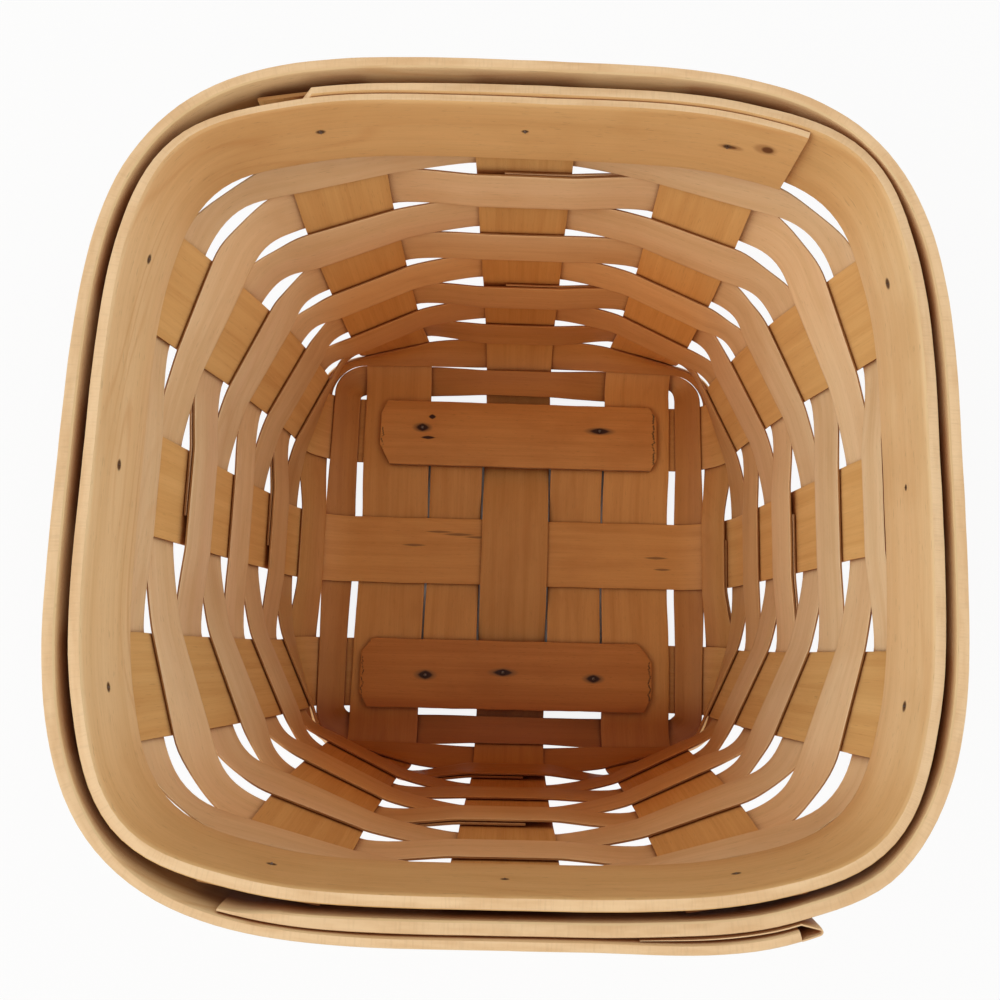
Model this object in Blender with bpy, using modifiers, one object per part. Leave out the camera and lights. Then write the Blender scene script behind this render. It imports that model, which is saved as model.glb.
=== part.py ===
"""Square berry basket of flat wood splints: a plaited base, ten woven rows and a double rim.

Metres, +Z up. The origin lies on the surface that the basket stands on, below the middle of the
rim. North is +Y and east is +X. Every strip is a ribbon between two rails, given its thickness by
Solidify, so the weave follows from the few sizes below.
"""

import math

import bmesh
import bpy
from mathutils import Matrix, Vector

# Driving sizes of the basket

RIM_WIDTH = 0.192  # over the outer band, both ways
HEIGHT = 0.114
BASE_WIDTH = 0.1216  # between the bends at the foot of opposite walls
FOOT_RADIUS = 0.0202  # of the bend from base to wall
BASE_SHIFT = 0.0014  # how far south of the outer band's middle the base's middle lies
NORTH_LEAN = 0.0022  # from the base's middle to the inner band's
EAST_LEAN = 0.0002
ROWS = 10

# Splints

UPRIGHT_WIDTH = 0.0252
UPRIGHT_THICKNESS = 0.0010
BASE_MARGIN = 0.0016  # of base beside the outer uprights
RIM_FAN = 0.0024  # how much farther apart the uprights stand at the rim than at the base
UPRIGHT_STOP = 0.0030  # how far below the rim the uprights end
FILLER_GAP = 0.0008  # between a filler and the uprights beside it
FILLER_SETBACK = 0.0088  # of a filler's ends from the bend at the foot
WEAVER_THICKNESS = 0.0008
ROW_GAP = 0.0005  # between one row and the next
TOP_ROW_WIDTH = 0.0072  # of the row below the rim, narrower than the others
ROW_SAG = 0.0024  # how much lower the top row lies at the outer uprights of a side than at the middle one
FOOT_MARGIN = 0.0010  # of wall left bare below the lowest row
CLEARANCE = 0.0003  # between pieces that touch
GROUND_CLEARANCE = 0.0001  # below the lowest row where its ends overlap

# Plan of the wall: a superellipse, boxy at the base, round in the body and boxy again at the rim

OUTLINE_SQUARENESS = 3.7  # of the outer band
RIM_SQUARENESS = 3.9
BODY_SQUARENESS = 2.6
FOOT_SQUARENESS = 20.0
SQUARENESS_FALL = 0.0041  # the height in which most of the base's boxiness goes
BODY_HEIGHT = 0.0400  # above which the wall grows boxier
RIM_INSET_X = 0.0045  # from the rim's outline to the middle of an upright's thickness
RIM_INSET_Y = 0.0063

# Rim bands

BAND_HEIGHT = 0.0152
BAND_THICKNESS = 0.0024
BAND_SEAT = 0.0006  # between the uprights and the inner band
BAND_STEP = math.radians(4.0)  # of plan angle from one section to the next, at the corners
OUTER_START = math.radians(-121.5)  # plan angle, east 0, counter-clockwise
OUTER_END_X = 0.0585  # where the full thickness stops
OUTER_SKIVE_LENGTH = 0.0120
OUTER_SKIVE_SHARE = 0.35  # of the thickness left at the skived start
INNER_START = math.radians(121.0)
INNER_END = math.radians(51.8)
INNER_STEP_FROM = math.radians(26.0)  # before the hidden end, where the covering layer starts to step in
INNER_STEP_TO = math.radians(3.0)
INNER_CLIP = 0.0036  # cut off the corners at the band's hidden end
CORNER_FILL = 0.0017  # how far the inner band stands out of its superellipse at the rim's corners
CORNER_SPREAD = math.radians(14.0)  # the plan angle to each side of a corner in which it does

# The skin of the outer band that turns back on itself at its end

SKIN_THICKNESS = 0.0006
LAP_DEPTH = 0.0021  # of the hidden layer inside the rim's outline, at the end of the outer one
TAIL_GAP = 0.0014  # between the band's two layers at the end
TAIL_LENGTH = 0.0044  # of bare skin past the full thickness
TAIL_RADIUS = 0.0008
FLAP_END_X = 0.0270
SPLIT_X = 0.0120  # where the outer layer starts to lift
FLAP_TIP_SHARE = 0.08  # of the band's thickness at the flap's tip

# Slats

SLAT_THICKNESS = 0.0020
SLAT_WIDTH = 0.0252
SLAT_BEVEL = 0.0003
NORTH_SLAT_SHIFT = 0.0013  # of a slat's middle from its upright's, towards the middle of the base
SOUTH_SLAT_SHIFT = 0.0002
NORTH_SLAT_SETBACKS = (0.0081, 0.0068)  # of the west and east ends from the bends at the foot
SOUTH_SLAT_SETBACKS = (0.0051, 0.0084)
# Corner cuts, along and across the slat in shares of its width, from the south-west corner counter-clockwise
NORTH_CUT_SHARES = ((0.16, 0.30), (0.09, 0.18), (0.12, 0.18), (0.09, 0.21))
SOUTH_CUT_SHARES = ((0.12, 0.22), (0.12, 0.23), (0.20, 0.26), (0.16, 0.20))

# Tacks and nails

SHANK_WIDTH = 0.0012
SHANK_SIDES = 8
HEAD_WIDTH = 0.0036
HEAD_HEIGHT = 0.0006
TACK_PROUD = 0.0002  # of the inner band's face, at the point
NAIL_HEAD_WIDTH = 0.0026
NAIL_SINK = 0.0006  # between a nail's point and the far face of the last splint
HEAD_SHARES = ((0.0, 1.0), (0.6, 0.8), (1.0, 0.3), (1.0, 0.0))  # of a head's half width and height

# Sections along the strips

LEVEL_STEPS = 5
SPAN_STEPS = 4
CORNER_STEPS = 6
SPAN_PULL_SHARE = 0.5  # of a round arc's fullness that a weaver has between two uprights of a side
CORNER_PULL_SHARE = 1.0  # the same at a corner
LAP_START_SHARE = -0.2  # of an upright's width, where a weaver starts on it
TAIL_SHARES = (0.04, 0.5, 1.0)
FLAP_SHARES = (0.0, 0.25, 0.5, 0.75, 1.0)

# Derived sizes

PLY = UPRIGHT_THICKNESS + CLEARANCE
MIDDLE_Z = UPRIGHT_THICKNESS / 2 + PLY  # of the splints that lie flat across the base
BASE_REACH = BASE_WIDTH / 2
RIM_REACH_X = RIM_WIDTH / 2 - RIM_INSET_X
RIM_REACH_Y = RIM_WIDTH / 2 - RIM_INSET_Y
MEAN_REACH = (RIM_REACH_X + RIM_REACH_Y) / 2
UPRIGHT_SPREAD = BASE_REACH - UPRIGHT_WIDTH / 2 - BASE_MARGIN  # from the middle upright to its neighbours
FILLER_WIDTH = UPRIGHT_SPREAD - UPRIGHT_WIDTH - 2 * FILLER_GAP
FILLER_REACH = BASE_REACH - FILLER_SETBACK
LEVEL_RUN = UPRIGHT_WIDTH / 2  # of foot in which a splint comes back to the wall's middle
HOLE_WIDTH = SHANK_WIDTH + 2 * CLEARANCE
TOP_MIDDLE = Vector((0, 0, HEIGHT))

SIDES = ("north", "east", "south", "west")
OPPOSITE = {"north": "south", "east": "west"}


def smooth(share):
    """An even rise from 0 to 1 with level ends."""
    share = min(max(share, 0.0), 1.0)
    return share * share * (3 - 2 * share)


# The wall's profile


def lean_angle():
    """The straight wall's angle from upright, so that it leaves the foot's bend and meets the rim."""
    across = MEAN_REACH - BASE_REACH
    up = HEIGHT - MIDDLE_Z - FOOT_RADIUS
    return math.atan2(across, up) - math.asin(FOOT_RADIUS / math.hypot(across, up))


WALL_LEAN = lean_angle()
FOOT_TURN = math.pi / 2 - WALL_LEAN
FOOT_LENGTH = FOOT_RADIUS * FOOT_TURN


def profile(slant):
    """(reach, height, slope from level) at a distance up the wall from the start of the bend."""
    if slant <= 0:
        return BASE_REACH + slant, MIDDLE_Z, 0.0
    turn = min(slant, FOOT_LENGTH) / FOOT_RADIUS
    past = max(slant - FOOT_LENGTH, 0.0)
    reach = BASE_REACH + FOOT_RADIUS * math.sin(turn) + past * math.sin(WALL_LEAN)
    height = MIDDLE_Z + FOOT_RADIUS * (1 - math.cos(turn)) + past * math.cos(WALL_LEAN)
    return reach, height, turn


def slant_at(height):
    """The distance up the wall of a height on its straight part."""
    foot_top = MIDDLE_Z + FOOT_RADIUS * (1 - math.sin(WALL_LEAN))
    return FOOT_LENGTH + (height - foot_top) / math.cos(WALL_LEAN)


def rise(height):
    """0 at the base's middle layer and 1 at the rim."""
    return (height - MIDDLE_Z) / (HEIGHT - MIDDLE_Z)


def middle_at(height):
    """The middle of the wall's plan."""
    return Vector((EAST_LEAN * rise(height), NORTH_LEAN * rise(height) - BASE_SHIFT, height))


def squareness(height):
    """The superellipse's power."""
    low_share = math.exp(-(height - MIDDLE_Z) / SQUARENESS_FALL)
    high_share = min(max((height - BODY_HEIGHT) / (HEIGHT - BAND_HEIGHT - BODY_HEIGHT), 0.0), 1.0) ** 3
    low, high = FOOT_SQUARENESS - BODY_SQUARENESS, RIM_SQUARENESS - BODY_SQUARENESS
    return BODY_SQUARENESS + low * low_share + high * high_share


# Rows of weaving, and the uprights on the wall


def row_slants(row, number):
    """Distances up the wall of a row's edges at upright -1, 0 or 1. Row 1 is the one below the rim."""
    top = slant_at(HEIGHT - BAND_HEIGHT) - 2 * ROW_GAP
    low, high = top - TOP_ROW_WIDTH, top
    if row > 1:
        pitch = (low - FOOT_MARGIN) / (ROWS - 1)
        low = FOOT_MARGIN + (ROWS - row) * pitch
        high = low + pitch - ROW_GAP
    sag = ROW_SAG * abs(number)
    return [edge - sag * max(edge - FOOT_LENGTH, 0.0) / (top - FOOT_LENGTH) for edge in (low, high)]


def wall_slants(number):
    """Where the uprights have sections: at each row's lower edge, and across the rows where the wall bends."""
    slants = [0.0]
    for row in range(ROWS, 0, -1):
        low, high = row_slants(row, number)
        slants.append(low)
        if low < FOOT_LENGTH:
            slants += [(low + high) / 2, high]
    return slants + [high, slant_at(HEIGHT - UPRIGHT_STOP)]


def facing(side, along, out):
    """A level vector from a wall's own measures: along it clockwise, and out from the axis."""
    turn = {"north": (along, out), "east": (out, -along), "south": (-along, -out), "west": (-out, along)}
    return Vector((*turn[side], 0))


def to_plan(side, along, out, height):
    return facing(side, along, out) + middle_at(height)


def wall_place(side, number, slant):
    """Middle point of upright -1, 0 or 1 of a side, and the direction along the wall there."""
    reach, height, _ = profile(slant)
    share = rise(height)
    half_x = reach + (RIM_REACH_X - MEAN_REACH) * share
    half_y = reach + (RIM_REACH_Y - MEAN_REACH) * share
    deep, wide = (half_y, half_x) if side in ("north", "south") else (half_x, half_y)
    along = number * (UPRIGHT_SPREAD + RIM_FAN * share)
    power = squareness(height)
    part = abs(along) / wide
    depth = (1 - part**power) ** (1 / power)
    fall = math.copysign((part / depth) ** (power - 1) * deep / wide, number) if number else 0.0
    return to_plan(side, along, deep * depth, height), facing(side, 1.0, -fall).normalized()


def station(side, number, slant):
    """Middle point, direction along the wall and direction out of it, of upright -1, 0 or 1."""
    middle, tangent = wall_place(side, number, slant)
    below, _ = wall_place(side, number, slant - CLEARANCE)
    above, _ = wall_place(side, number, slant + CLEARANCE)
    return middle, tangent, (above - below).cross(tangent).normalized()


# Ribbons


def collection_for(name):
    made = bpy.data.collections.new(name)
    bpy.context.scene.collection.children.link(made)
    return made


def new_object(name, mesh, material, group):
    obj = bpy.data.objects.new(name, mesh)
    if material:
        mesh.materials.append(material)
    group.objects.link(obj)
    return obj


def ribbon(name, rails, thickness, material, group, layer=0.0, shares=None):
    """A strip through rails that run along it, side by side.

    Each twisted face is folded outwards, so that strips lying on each other fold alike. The faces
    point to the right of the way the rails run if the lowest rail comes first. layer is
    Solidify's offset: 0 puts the rails in the middle of the thickness and -1 on that face. shares
    are the parts of the thickness that the strip has at each section.
    """
    shell = bmesh.new()
    rows = [[shell.verts.new(point) for point in section] for section in zip(*rails)]
    for here, there in zip(rows, rows[1:]):
        for low_a, high_a, low_b, high_b in zip(here, here[1:], there, there[1:]):
            rising, falling = (low_a.co + high_b.co) / 2, (low_b.co + high_a.co) / 2
            if (rising - TOP_MIDDLE).length > (falling - TOP_MIDDLE).length:
                shell.faces.new((low_a, low_b, high_b))
                shell.faces.new((low_a, high_b, high_a))
            else:
                shell.faces.new((low_a, low_b, high_a))
                shell.faces.new((low_b, high_b, high_a))
    mesh = bpy.data.meshes.new(name)
    shell.to_mesh(mesh)
    shell.free()
    obj = new_object(name, mesh, material, group)
    solidify = obj.modifiers.new("thickness", "SOLIDIFY")
    solidify.thickness = thickness
    solidify.offset = layer
    if shares:
        part = obj.vertex_groups.new(name="thickness")
        width = len(rails)
        for section, share in enumerate(shares):
            part.add(range(section * width, (section + 1) * width), share, "REPLACE")
        solidify.vertex_group = part.name
    return obj


# Base and uprights


def layer_height(place, levels):
    """Height in plies above the base's middle layer, at a place along a splint of the base.

    levels are those at the near, middle and far crossings, which lie one spread apart.
    """
    half = UPRIGHT_WIDTH / 2
    gap = UPRIGHT_SPREAD - UPRIGHT_WIDTH
    near, middle, far = levels
    side_level = far if place > 0 else near
    return middle + (side_level - middle) * smooth((abs(place) - half) / gap)


def base_places():
    """Places along a splint where its path needs a section, from the middle crossing outwards."""
    half = UPRIGHT_WIDTH / 2
    gap = UPRIGHT_SPREAD - UPRIGHT_WIDTH
    steps = [half + gap * step / LEVEL_STEPS for step in range(LEVEL_STEPS + 1)]
    return steps + [UPRIGHT_SPREAD + half]


def upright_rails(side, number, levels):
    """Rails of a splint from the top of the opposite wall, across the base, to the top of this one."""
    half = UPRIGHT_WIDTH / 2
    slants = wall_slants(number)
    near_level, far_level = levels[0], levels[2]
    left, right = [], []
    for slant in reversed(slants):
        middle, tangent, outward = station(OPPOSITE[side], -number, slant)
        middle = middle - outward * near_level * PLY * (1 - smooth(slant / LEVEL_RUN))
        left.append(middle + tangent * half)
        right.append(middle - tangent * half)
    outward_places = base_places()
    for place in [-step for step in reversed(outward_places)] + outward_places:
        height = MIDDLE_Z + layer_height(place, levels) * PLY
        lift = Vector((0, 0, height - MIDDLE_Z))
        along = number * UPRIGHT_SPREAD
        left.append(to_plan(side, along - half, place, MIDDLE_Z) + lift)
        right.append(to_plan(side, along + half, place, MIDDLE_Z) + lift)
    for slant in slants:
        middle, tangent, outward = station(side, number, slant)
        middle = middle - outward * far_level * PLY * (1 - smooth(slant / LEVEL_RUN))
        left.append(middle - tangent * half)
        right.append(middle + tangent * half)
    return left, right


UPRIGHT_NAMES = {
    ("north", -1): "upright_ns_west",
    ("north", 0): "upright_ns_middle",
    ("north", 1): "upright_ns_east",
    ("east", -1): "upright_ew_north",
    ("east", 0): "upright_ew_middle",
    ("east", 1): "upright_ew_south",
}


def make_uprights(material, group):
    made = {}
    for (side, number), name in UPRIGHT_NAMES.items():
        over_edges = (1, -1, 1) if number else (-1, 1, -1)
        levels = over_edges if side == "north" else (0, 0, 0)
        left, right = upright_rails(side, number, levels)
        made[name] = ribbon(name, (left, right), UPRIGHT_THICKNESS, material, group)
    return made


def make_fillers(material, group):
    places = [place for place in base_places() if place < FILLER_REACH] + [FILLER_REACH]
    made = {}
    for sign, name in ((-1, "base_filler_west"), (1, "base_filler_east")):
        middle = sign * UPRIGHT_SPREAD / 2
        left, right = [], []
        for place in [-step for step in reversed(places)] + places:
            lift = Vector((0, 0, layer_height(place, (1, -1, 1)) * PLY))
            left.append(to_plan("north", middle - FILLER_WIDTH / 2, place, MIDDLE_Z) + lift)
            right.append(to_plan("north", middle + FILLER_WIDTH / 2, place, MIDDLE_Z) + lift)
        made[name] = ribbon(name, (left, right), UPRIGHT_THICKNESS, material, group)
    return made


# Weavers


def lowest_slant(depth):
    """The lowest place up the wall where a face that far outside its middle clears the ground."""
    cosine = (MIDDLE_Z + FOOT_RADIUS - GROUND_CLEARANCE) / (FOOT_RADIUS + depth)
    return FOOT_RADIUS * math.acos(min(cosine, 1.0))


UPRIGHT_ORDER = [(side, number) for side in SIDES for number in (-1, 0, 1)]


def turned(first, second):
    return first.angle(second, 0.0)


def span(start, end, steps, pull_share):
    """Points of a rail between two uprights. Each end is (place on the wall, way, outward, shift outward)."""
    (here, here_way, here_out, here_shift), (there, there_way, there_out, there_shift) = start, end
    reach = pull_share * (there - here).length / math.cos(turned(here_way, there_way) / 4) ** 2
    points = []
    for step in range(1, steps):
        t = step / steps
        bend = here_way * (t * (1 - t) ** 2) - there_way * (t**2 * (1 - t))
        place = here.lerp(there, smooth(t)) + bend * reach
        shift = here_shift + (there_shift - here_shift) * smooth(t)
        points.append(place + here_out.lerp(there_out, smooth(t)).normalized() * shift)
    return points


def weaver_stops(row):
    """The uprights that a row passes: (upright, shift outwards, part covered, lowest slant).

    Odd rows pass inside every second upright, starting with the north-west one, and even rows the
    others. The ends overlap over two uprights, on a side that changes from row to row. The hidden
    end is trimmed below where it would reach the ground.
    """
    inside = -((UPRIGHT_THICKNESS + WEAVER_THICKNESS) / 2 + CLEARANCE)
    outside = -inside
    layer = WEAVER_THICKNESS + CLEARANCE
    trim = lowest_slant(outside + layer + WEAVER_THICKNESS / 2)
    lap_side = ("east", "north", "west", "south")[(row - 1) % 4]
    lap = UPRIGHT_ORDER.index((lap_side, 0))
    stops = []
    for step in range(len(UPRIGHT_ORDER) + 2):
        place = (lap + step) % len(UPRIGHT_ORDER)
        shift = inside if (place + row) % 2 else outside
        start_share = -0.5
        if step == 0:
            start_share = LAP_START_SHARE
        elif step == 1:
            shift = outside + layer
        elif step == len(UPRIGHT_ORDER):
            shift = inside - layer
        stops.append((UPRIGHT_ORDER[place], shift, start_share, trim if step < 2 else 0.0))
    return stops


def weaver_rails(row):
    """The edges of a row's strip, with a rail between them where the wall bends."""
    shares = (0.0, 0.5, 1.0) if row_slants(row, 0)[0] < FOOT_LENGTH else (0.0, 1.0)
    rails = []
    for share in shares:
        rail = []
        for (side, number), shift, start_share, lowest in weaver_stops(row):
            low, high = row_slants(row, number)
            bottom = max(low, lowest)
            middle, tangent, outward = station(side, number, bottom + (high - bottom) * share)
            start = middle + tangent * (UPRIGHT_WIDTH * start_share)
            end = middle + tangent * (UPRIGHT_WIDTH / 2)
            if rail:
                straight = side == last_side
                steps = SPAN_STEPS if straight else CORNER_STEPS
                pull_share = SPAN_PULL_SHARE if straight else CORNER_PULL_SHARE
                rail += span(leaving, (start, tangent, outward, shift), steps, pull_share)
            rail += [start + outward * shift, end + outward * shift]
            leaving, last_side = (end, tangent, outward, shift), side
        rails.append(rail)
    return rails


def make_weavers(material, group):
    for row in range(1, ROWS + 1):
        rails = weaver_rails(row)
        ribbon(f"weaver_row_{row:02d}", rails[::-1], WEAVER_THICKNESS, material, group)


# Rim bands


def band_point(angle, half_x, half_y, power, offset, height, middle):
    """A point of a band's outer face in plan, moved outwards by offset."""
    cosine, sine = math.cos(angle), math.sin(angle)
    radius = (abs(cosine) ** power + abs(sine) ** power) ** (-1 / power)
    x, y = radius * cosine, radius * sine
    normal_x = math.copysign(abs(x) ** (power - 1), x) / half_x
    normal_y = math.copysign(abs(y) ** (power - 1), y) / half_y
    length = math.hypot(normal_x, normal_y)
    sunk = offset - (HEIGHT - height) * math.tan(WALL_LEAN)
    out = Vector((normal_x, normal_y, 0)) * (sunk / length)
    return Vector((half_x * x + middle.x, half_y * y + middle.y, height)) + out


def band_rails(sections, half_x, half_y, power, middle):
    """Low and high rails of a band's outer face from (angle, offset, cut off its height)."""
    top = HEIGHT - BAND_THICKNESS * math.sin(WALL_LEAN)
    rails = []
    for height, direction in ((HEIGHT - BAND_HEIGHT, 1), (top, -1)):
        rail = [
            band_point(angle, half_x, half_y, power, offset, height + direction * cut, middle)
            for angle, offset, cut in sections
        ]
        rails.append(rail)
    return rails


def band_angles(start, end):
    """Plan angles from one to the other, closer at the corners than along the sides."""
    way = math.copysign(1, end - start)
    angles = [start]
    step = BAND_STEP
    while abs(end - angles[-1]) > 3 / 2 * step:
        angles.append(angles[-1] + way * step)
        step = BAND_STEP * (1 + math.cos(2 * angles[-1]) ** 2)
    return angles + [end]


def angle_at_x(x, half, sign):
    """The plan angle of the point of the rim's outline with this x, on the north (1) or south (-1) side."""
    y = (1 - (abs(x) / half) ** OUTLINE_SQUARENESS) ** (1 / OUTLINE_SQUARENESS)
    return math.atan2(sign * y, x / half)


def inner_band_sections():
    """Clockwise from the hidden end on the north side, once round and on over itself."""
    layer = BAND_THICKNESS + CLEARANCE
    start, end = INNER_START, INNER_END - 2 * math.pi
    step_in_from, step_in_to = start - 2 * math.pi + INNER_STEP_FROM, start - 2 * math.pi + INNER_STEP_TO
    sections = [(start, 0.0, INNER_CLIP)]
    for angle in band_angles(start - INNER_CLIP / RIM_REACH_Y, end):
        inwards = smooth((angle - step_in_from) / (step_in_to - step_in_from))
        from_corner = angle % (math.pi / 2) - math.pi / 4
        outwards = CORNER_FILL * smooth(1 - abs(from_corner) / CORNER_SPREAD)
        sections.append((angle, outwards - layer * inwards, 0.0))
    return sections


def hidden_offset(angle, flap_end, shoulder):
    """How far the band's first layer stands outside the rim's outline where the second covers it."""
    tucked = BAND_THICKNESS + CLEARANCE
    if angle < shoulder:
        return (tucked - LAP_DEPTH) * smooth((angle - flap_end) / (shoulder - flap_end)) - tucked
    return LAP_DEPTH * (smooth((angle - shoulder) / (-math.pi / 4 - shoulder)) - 1)


def outer_band_path():
    """(angle, offset, share of the thickness) counter-clockwise from the skived end on the south side."""
    half = RIM_WIDTH / 2
    shoulder, flap_end, split = (angle_at_x(x, half, -1) for x in (OUTER_END_X, FLAP_END_X, SPLIT_X))
    lift_from = split + 2 * math.pi
    path = []
    for angle in band_angles(OUTER_START, flap_end) + band_angles(flap_end, shoulder + 2 * math.pi)[1:]:
        if angle < math.pi:
            offset = hidden_offset(angle, flap_end, shoulder)
        else:
            offset = tail_offset() * smooth((angle - lift_from) / (shoulder - split))
        filled = smooth((angle - OUTER_START) * half / OUTER_SKIVE_LENGTH)
        path.append((angle, offset, OUTER_SKIVE_SHARE + (1 - OUTER_SKIVE_SHARE) * filled))
    return path


def tail_offset():
    return BAND_THICKNESS + TAIL_GAP - LAP_DEPTH


def tail_path():
    """The thin skin past the shoulder: on, round a hairpin and back between the layers."""
    half = RIM_WIDTH / 2
    thin = SKIN_THICKNESS / BAND_THICKNESS
    full = tail_offset()
    shoulder, flap_end = (angle_at_x(x, half, -1) for x in (OUTER_END_X, FLAP_END_X))
    turn_at = angle_at_x(OUTER_END_X + TAIL_LENGTH - TAIL_RADIUS, half, -1)
    path = [(shoulder + (turn_at - shoulder) * share, full, thin) for share in TAIL_SHARES]
    for turn in (math.pi / 4, math.pi / 2, 3 * math.pi / 4):
        ahead = TAIL_RADIUS * math.sin(turn)
        drop = TAIL_RADIUS * (1 - math.cos(turn))
        path.append((turn_at + ahead / half, full - drop, thin))
    flap_start = shoulder + TAIL_RADIUS / half
    for share in FLAP_SHARES:
        angle = flap_start + (flap_end - flap_start) * share
        offset = hidden_offset(angle, flap_end, shoulder) + CLEARANCE
        path.append((angle, offset, thin + (FLAP_TIP_SHARE - thin) * share))
    return path


def make_bands(material, group):
    seat = UPRIGHT_THICKNESS / 2 + BAND_SEAT
    reach_x, reach_y = RIM_REACH_X - seat, RIM_REACH_Y - seat
    middle = middle_at(HEIGHT - BAND_HEIGHT / 2)
    rails = band_rails(inner_band_sections(), reach_x, reach_y, RIM_SQUARENESS, middle)
    inner = ribbon("rim_band_inner", rails[::-1], BAND_THICKNESS, material, group, layer=-1.0)
    path = outer_band_path() + tail_path()
    sections = [(angle, offset, 0.0) for angle, offset, _ in path]
    rails = band_rails(sections, RIM_WIDTH / 2, RIM_WIDTH / 2, OUTLINE_SQUARENESS, Vector())
    shares = [share for _, _, share in path]
    outer = ribbon("rim_band_outer", rails, BAND_THICKNESS, material, group, layer=-1.0, shares=shares)
    return inner, outer


# Slats and nails


def slat(name, ends, middle, shares, material, group):
    """A flat board with its corners cut off, lying on the splints."""
    west, east = ends
    south, north = middle - SLAT_WIDTH / 2, middle + SLAT_WIDTH / 2
    points = []
    corners = ((west, south, 1, 1), (east, south, -1, 1), (east, north, -1, -1), (west, north, 1, -1))
    for (x, y, inward_x, inward_y), (along, across) in zip(corners, shares):
        on_end = (x, y + inward_y * across * SLAT_WIDTH)
        on_side = (x + inward_x * along * SLAT_WIDTH, y)
        points += [on_end, on_side] if inward_x == inward_y else [on_side, on_end]
    outline = bpy.data.curves.new(name, "CURVE")
    outline.dimensions = "2D"
    outline.fill_mode = "BOTH"
    outline.extrude = SLAT_THICKNESS / 2 - SLAT_BEVEL
    outline.bevel_depth = SLAT_BEVEL
    outline.bevel_resolution = 0
    outline.offset = -SLAT_BEVEL
    spline = outline.splines.new("POLY")
    spline.points.add(len(points) - 1)
    for point, (x, y) in zip(spline.points, points):
        point.co = (x, y, 0, 1)
    spline.use_cyclic_u = True
    guide = bpy.data.objects.new(name + "_outline", outline)
    bpy.context.scene.collection.objects.link(guide)
    bpy.context.view_layer.update()
    graph = bpy.context.evaluated_depsgraph_get()
    mesh = bpy.data.meshes.new_from_object(guide.evaluated_get(graph))
    bpy.data.objects.remove(guide)
    shell = bmesh.new()
    shell.from_mesh(mesh)
    bmesh.ops.remove_doubles(shell, verts=shell.verts, dist=CLEARANCE / 100)
    shell.to_mesh(mesh)
    shell.free()
    mesh.name = name
    obj = new_object(name, mesh, material, group)
    obj.location.z = slat_bottom() + SLAT_THICKNESS / 2
    return obj


def slat_bottom():
    return MIDDLE_Z + PLY + UPRIGHT_THICKNESS / 2 + CLEARANCE


def turned_pin(name, length, head_width, head_height, material, group):
    """A tack: a domed head above the origin and a shank below it, turned about Z."""
    shank, head = SHANK_WIDTH / 2, head_width / 2
    shape = [(head * wide, head_height * high) for wide, high in HEAD_SHARES]
    shape += [(shank, 0), (shank, -length + shank), (0, -length)]
    shell = bmesh.new()
    points = [shell.verts.new((x, 0, z)) for x, z in shape]
    for first, second in zip(points, points[1:]):
        shell.edges.new((first, second))
    mesh = bpy.data.meshes.new(name)
    shell.to_mesh(mesh)
    shell.free()
    obj = new_object(name, mesh, material, group)
    screw = obj.modifiers.new("turned", "SCREW")
    screw.steps = SHANK_SIDES
    screw.render_steps = SHANK_SIDES
    screw.use_merge_vertices = True
    screw.merge_threshold = CLEARANCE / 100
    screw.use_smooth_shade = True
    return obj


def hole_cutter(name, holes, group):
    """One mesh with a rod for each hole: (middle, direction, length)."""
    shell = bmesh.new()
    for middle, direction, length in holes:
        matrix = Matrix.Translation(middle) @ direction.to_track_quat("Z", "Y").to_matrix().to_4x4()
        bmesh.ops.create_cone(
            shell,
            cap_ends=True,
            segments=SHANK_SIDES,
            radius1=HOLE_WIDTH / 2,
            radius2=HOLE_WIDTH / 2,
            depth=length,
            matrix=matrix,
        )
    mesh = bpy.data.meshes.new(name)
    shell.to_mesh(mesh)
    shell.free()
    cutter = new_object(name, mesh, None, group)
    cutter.hide_render = True
    cutter.display_type = "WIRE"
    return cutter


def cut(obj, cutter):
    boolean = obj.modifiers.new("holes", "BOOLEAN")
    boolean.operation = "DIFFERENCE"
    boolean.object = cutter


NAIL_SHARES = {
    # name: (side of the axis, x past the outer upright's inner edge and shift from the slat's middle in
    # shares of the upright's width, slat's side, plies below the slat)
    "slat_nail_north_west": (-1, 0.102, 0.08, 1, 2),
    "slat_nail_north_east": (1, -0.087, 0.10, 1, 2),
    "slat_nail_south_west": (-1, -0.095, -0.02, -1, 2),
    "slat_nail_south_middle": (0, -0.118, 0.04, -1, 3),
    "slat_nail_south_east": (1, -0.135, -0.02, -1, 2),
}


def slat_ends(setbacks):
    west, east = setbacks
    return west - BASE_REACH, BASE_REACH - east


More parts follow.
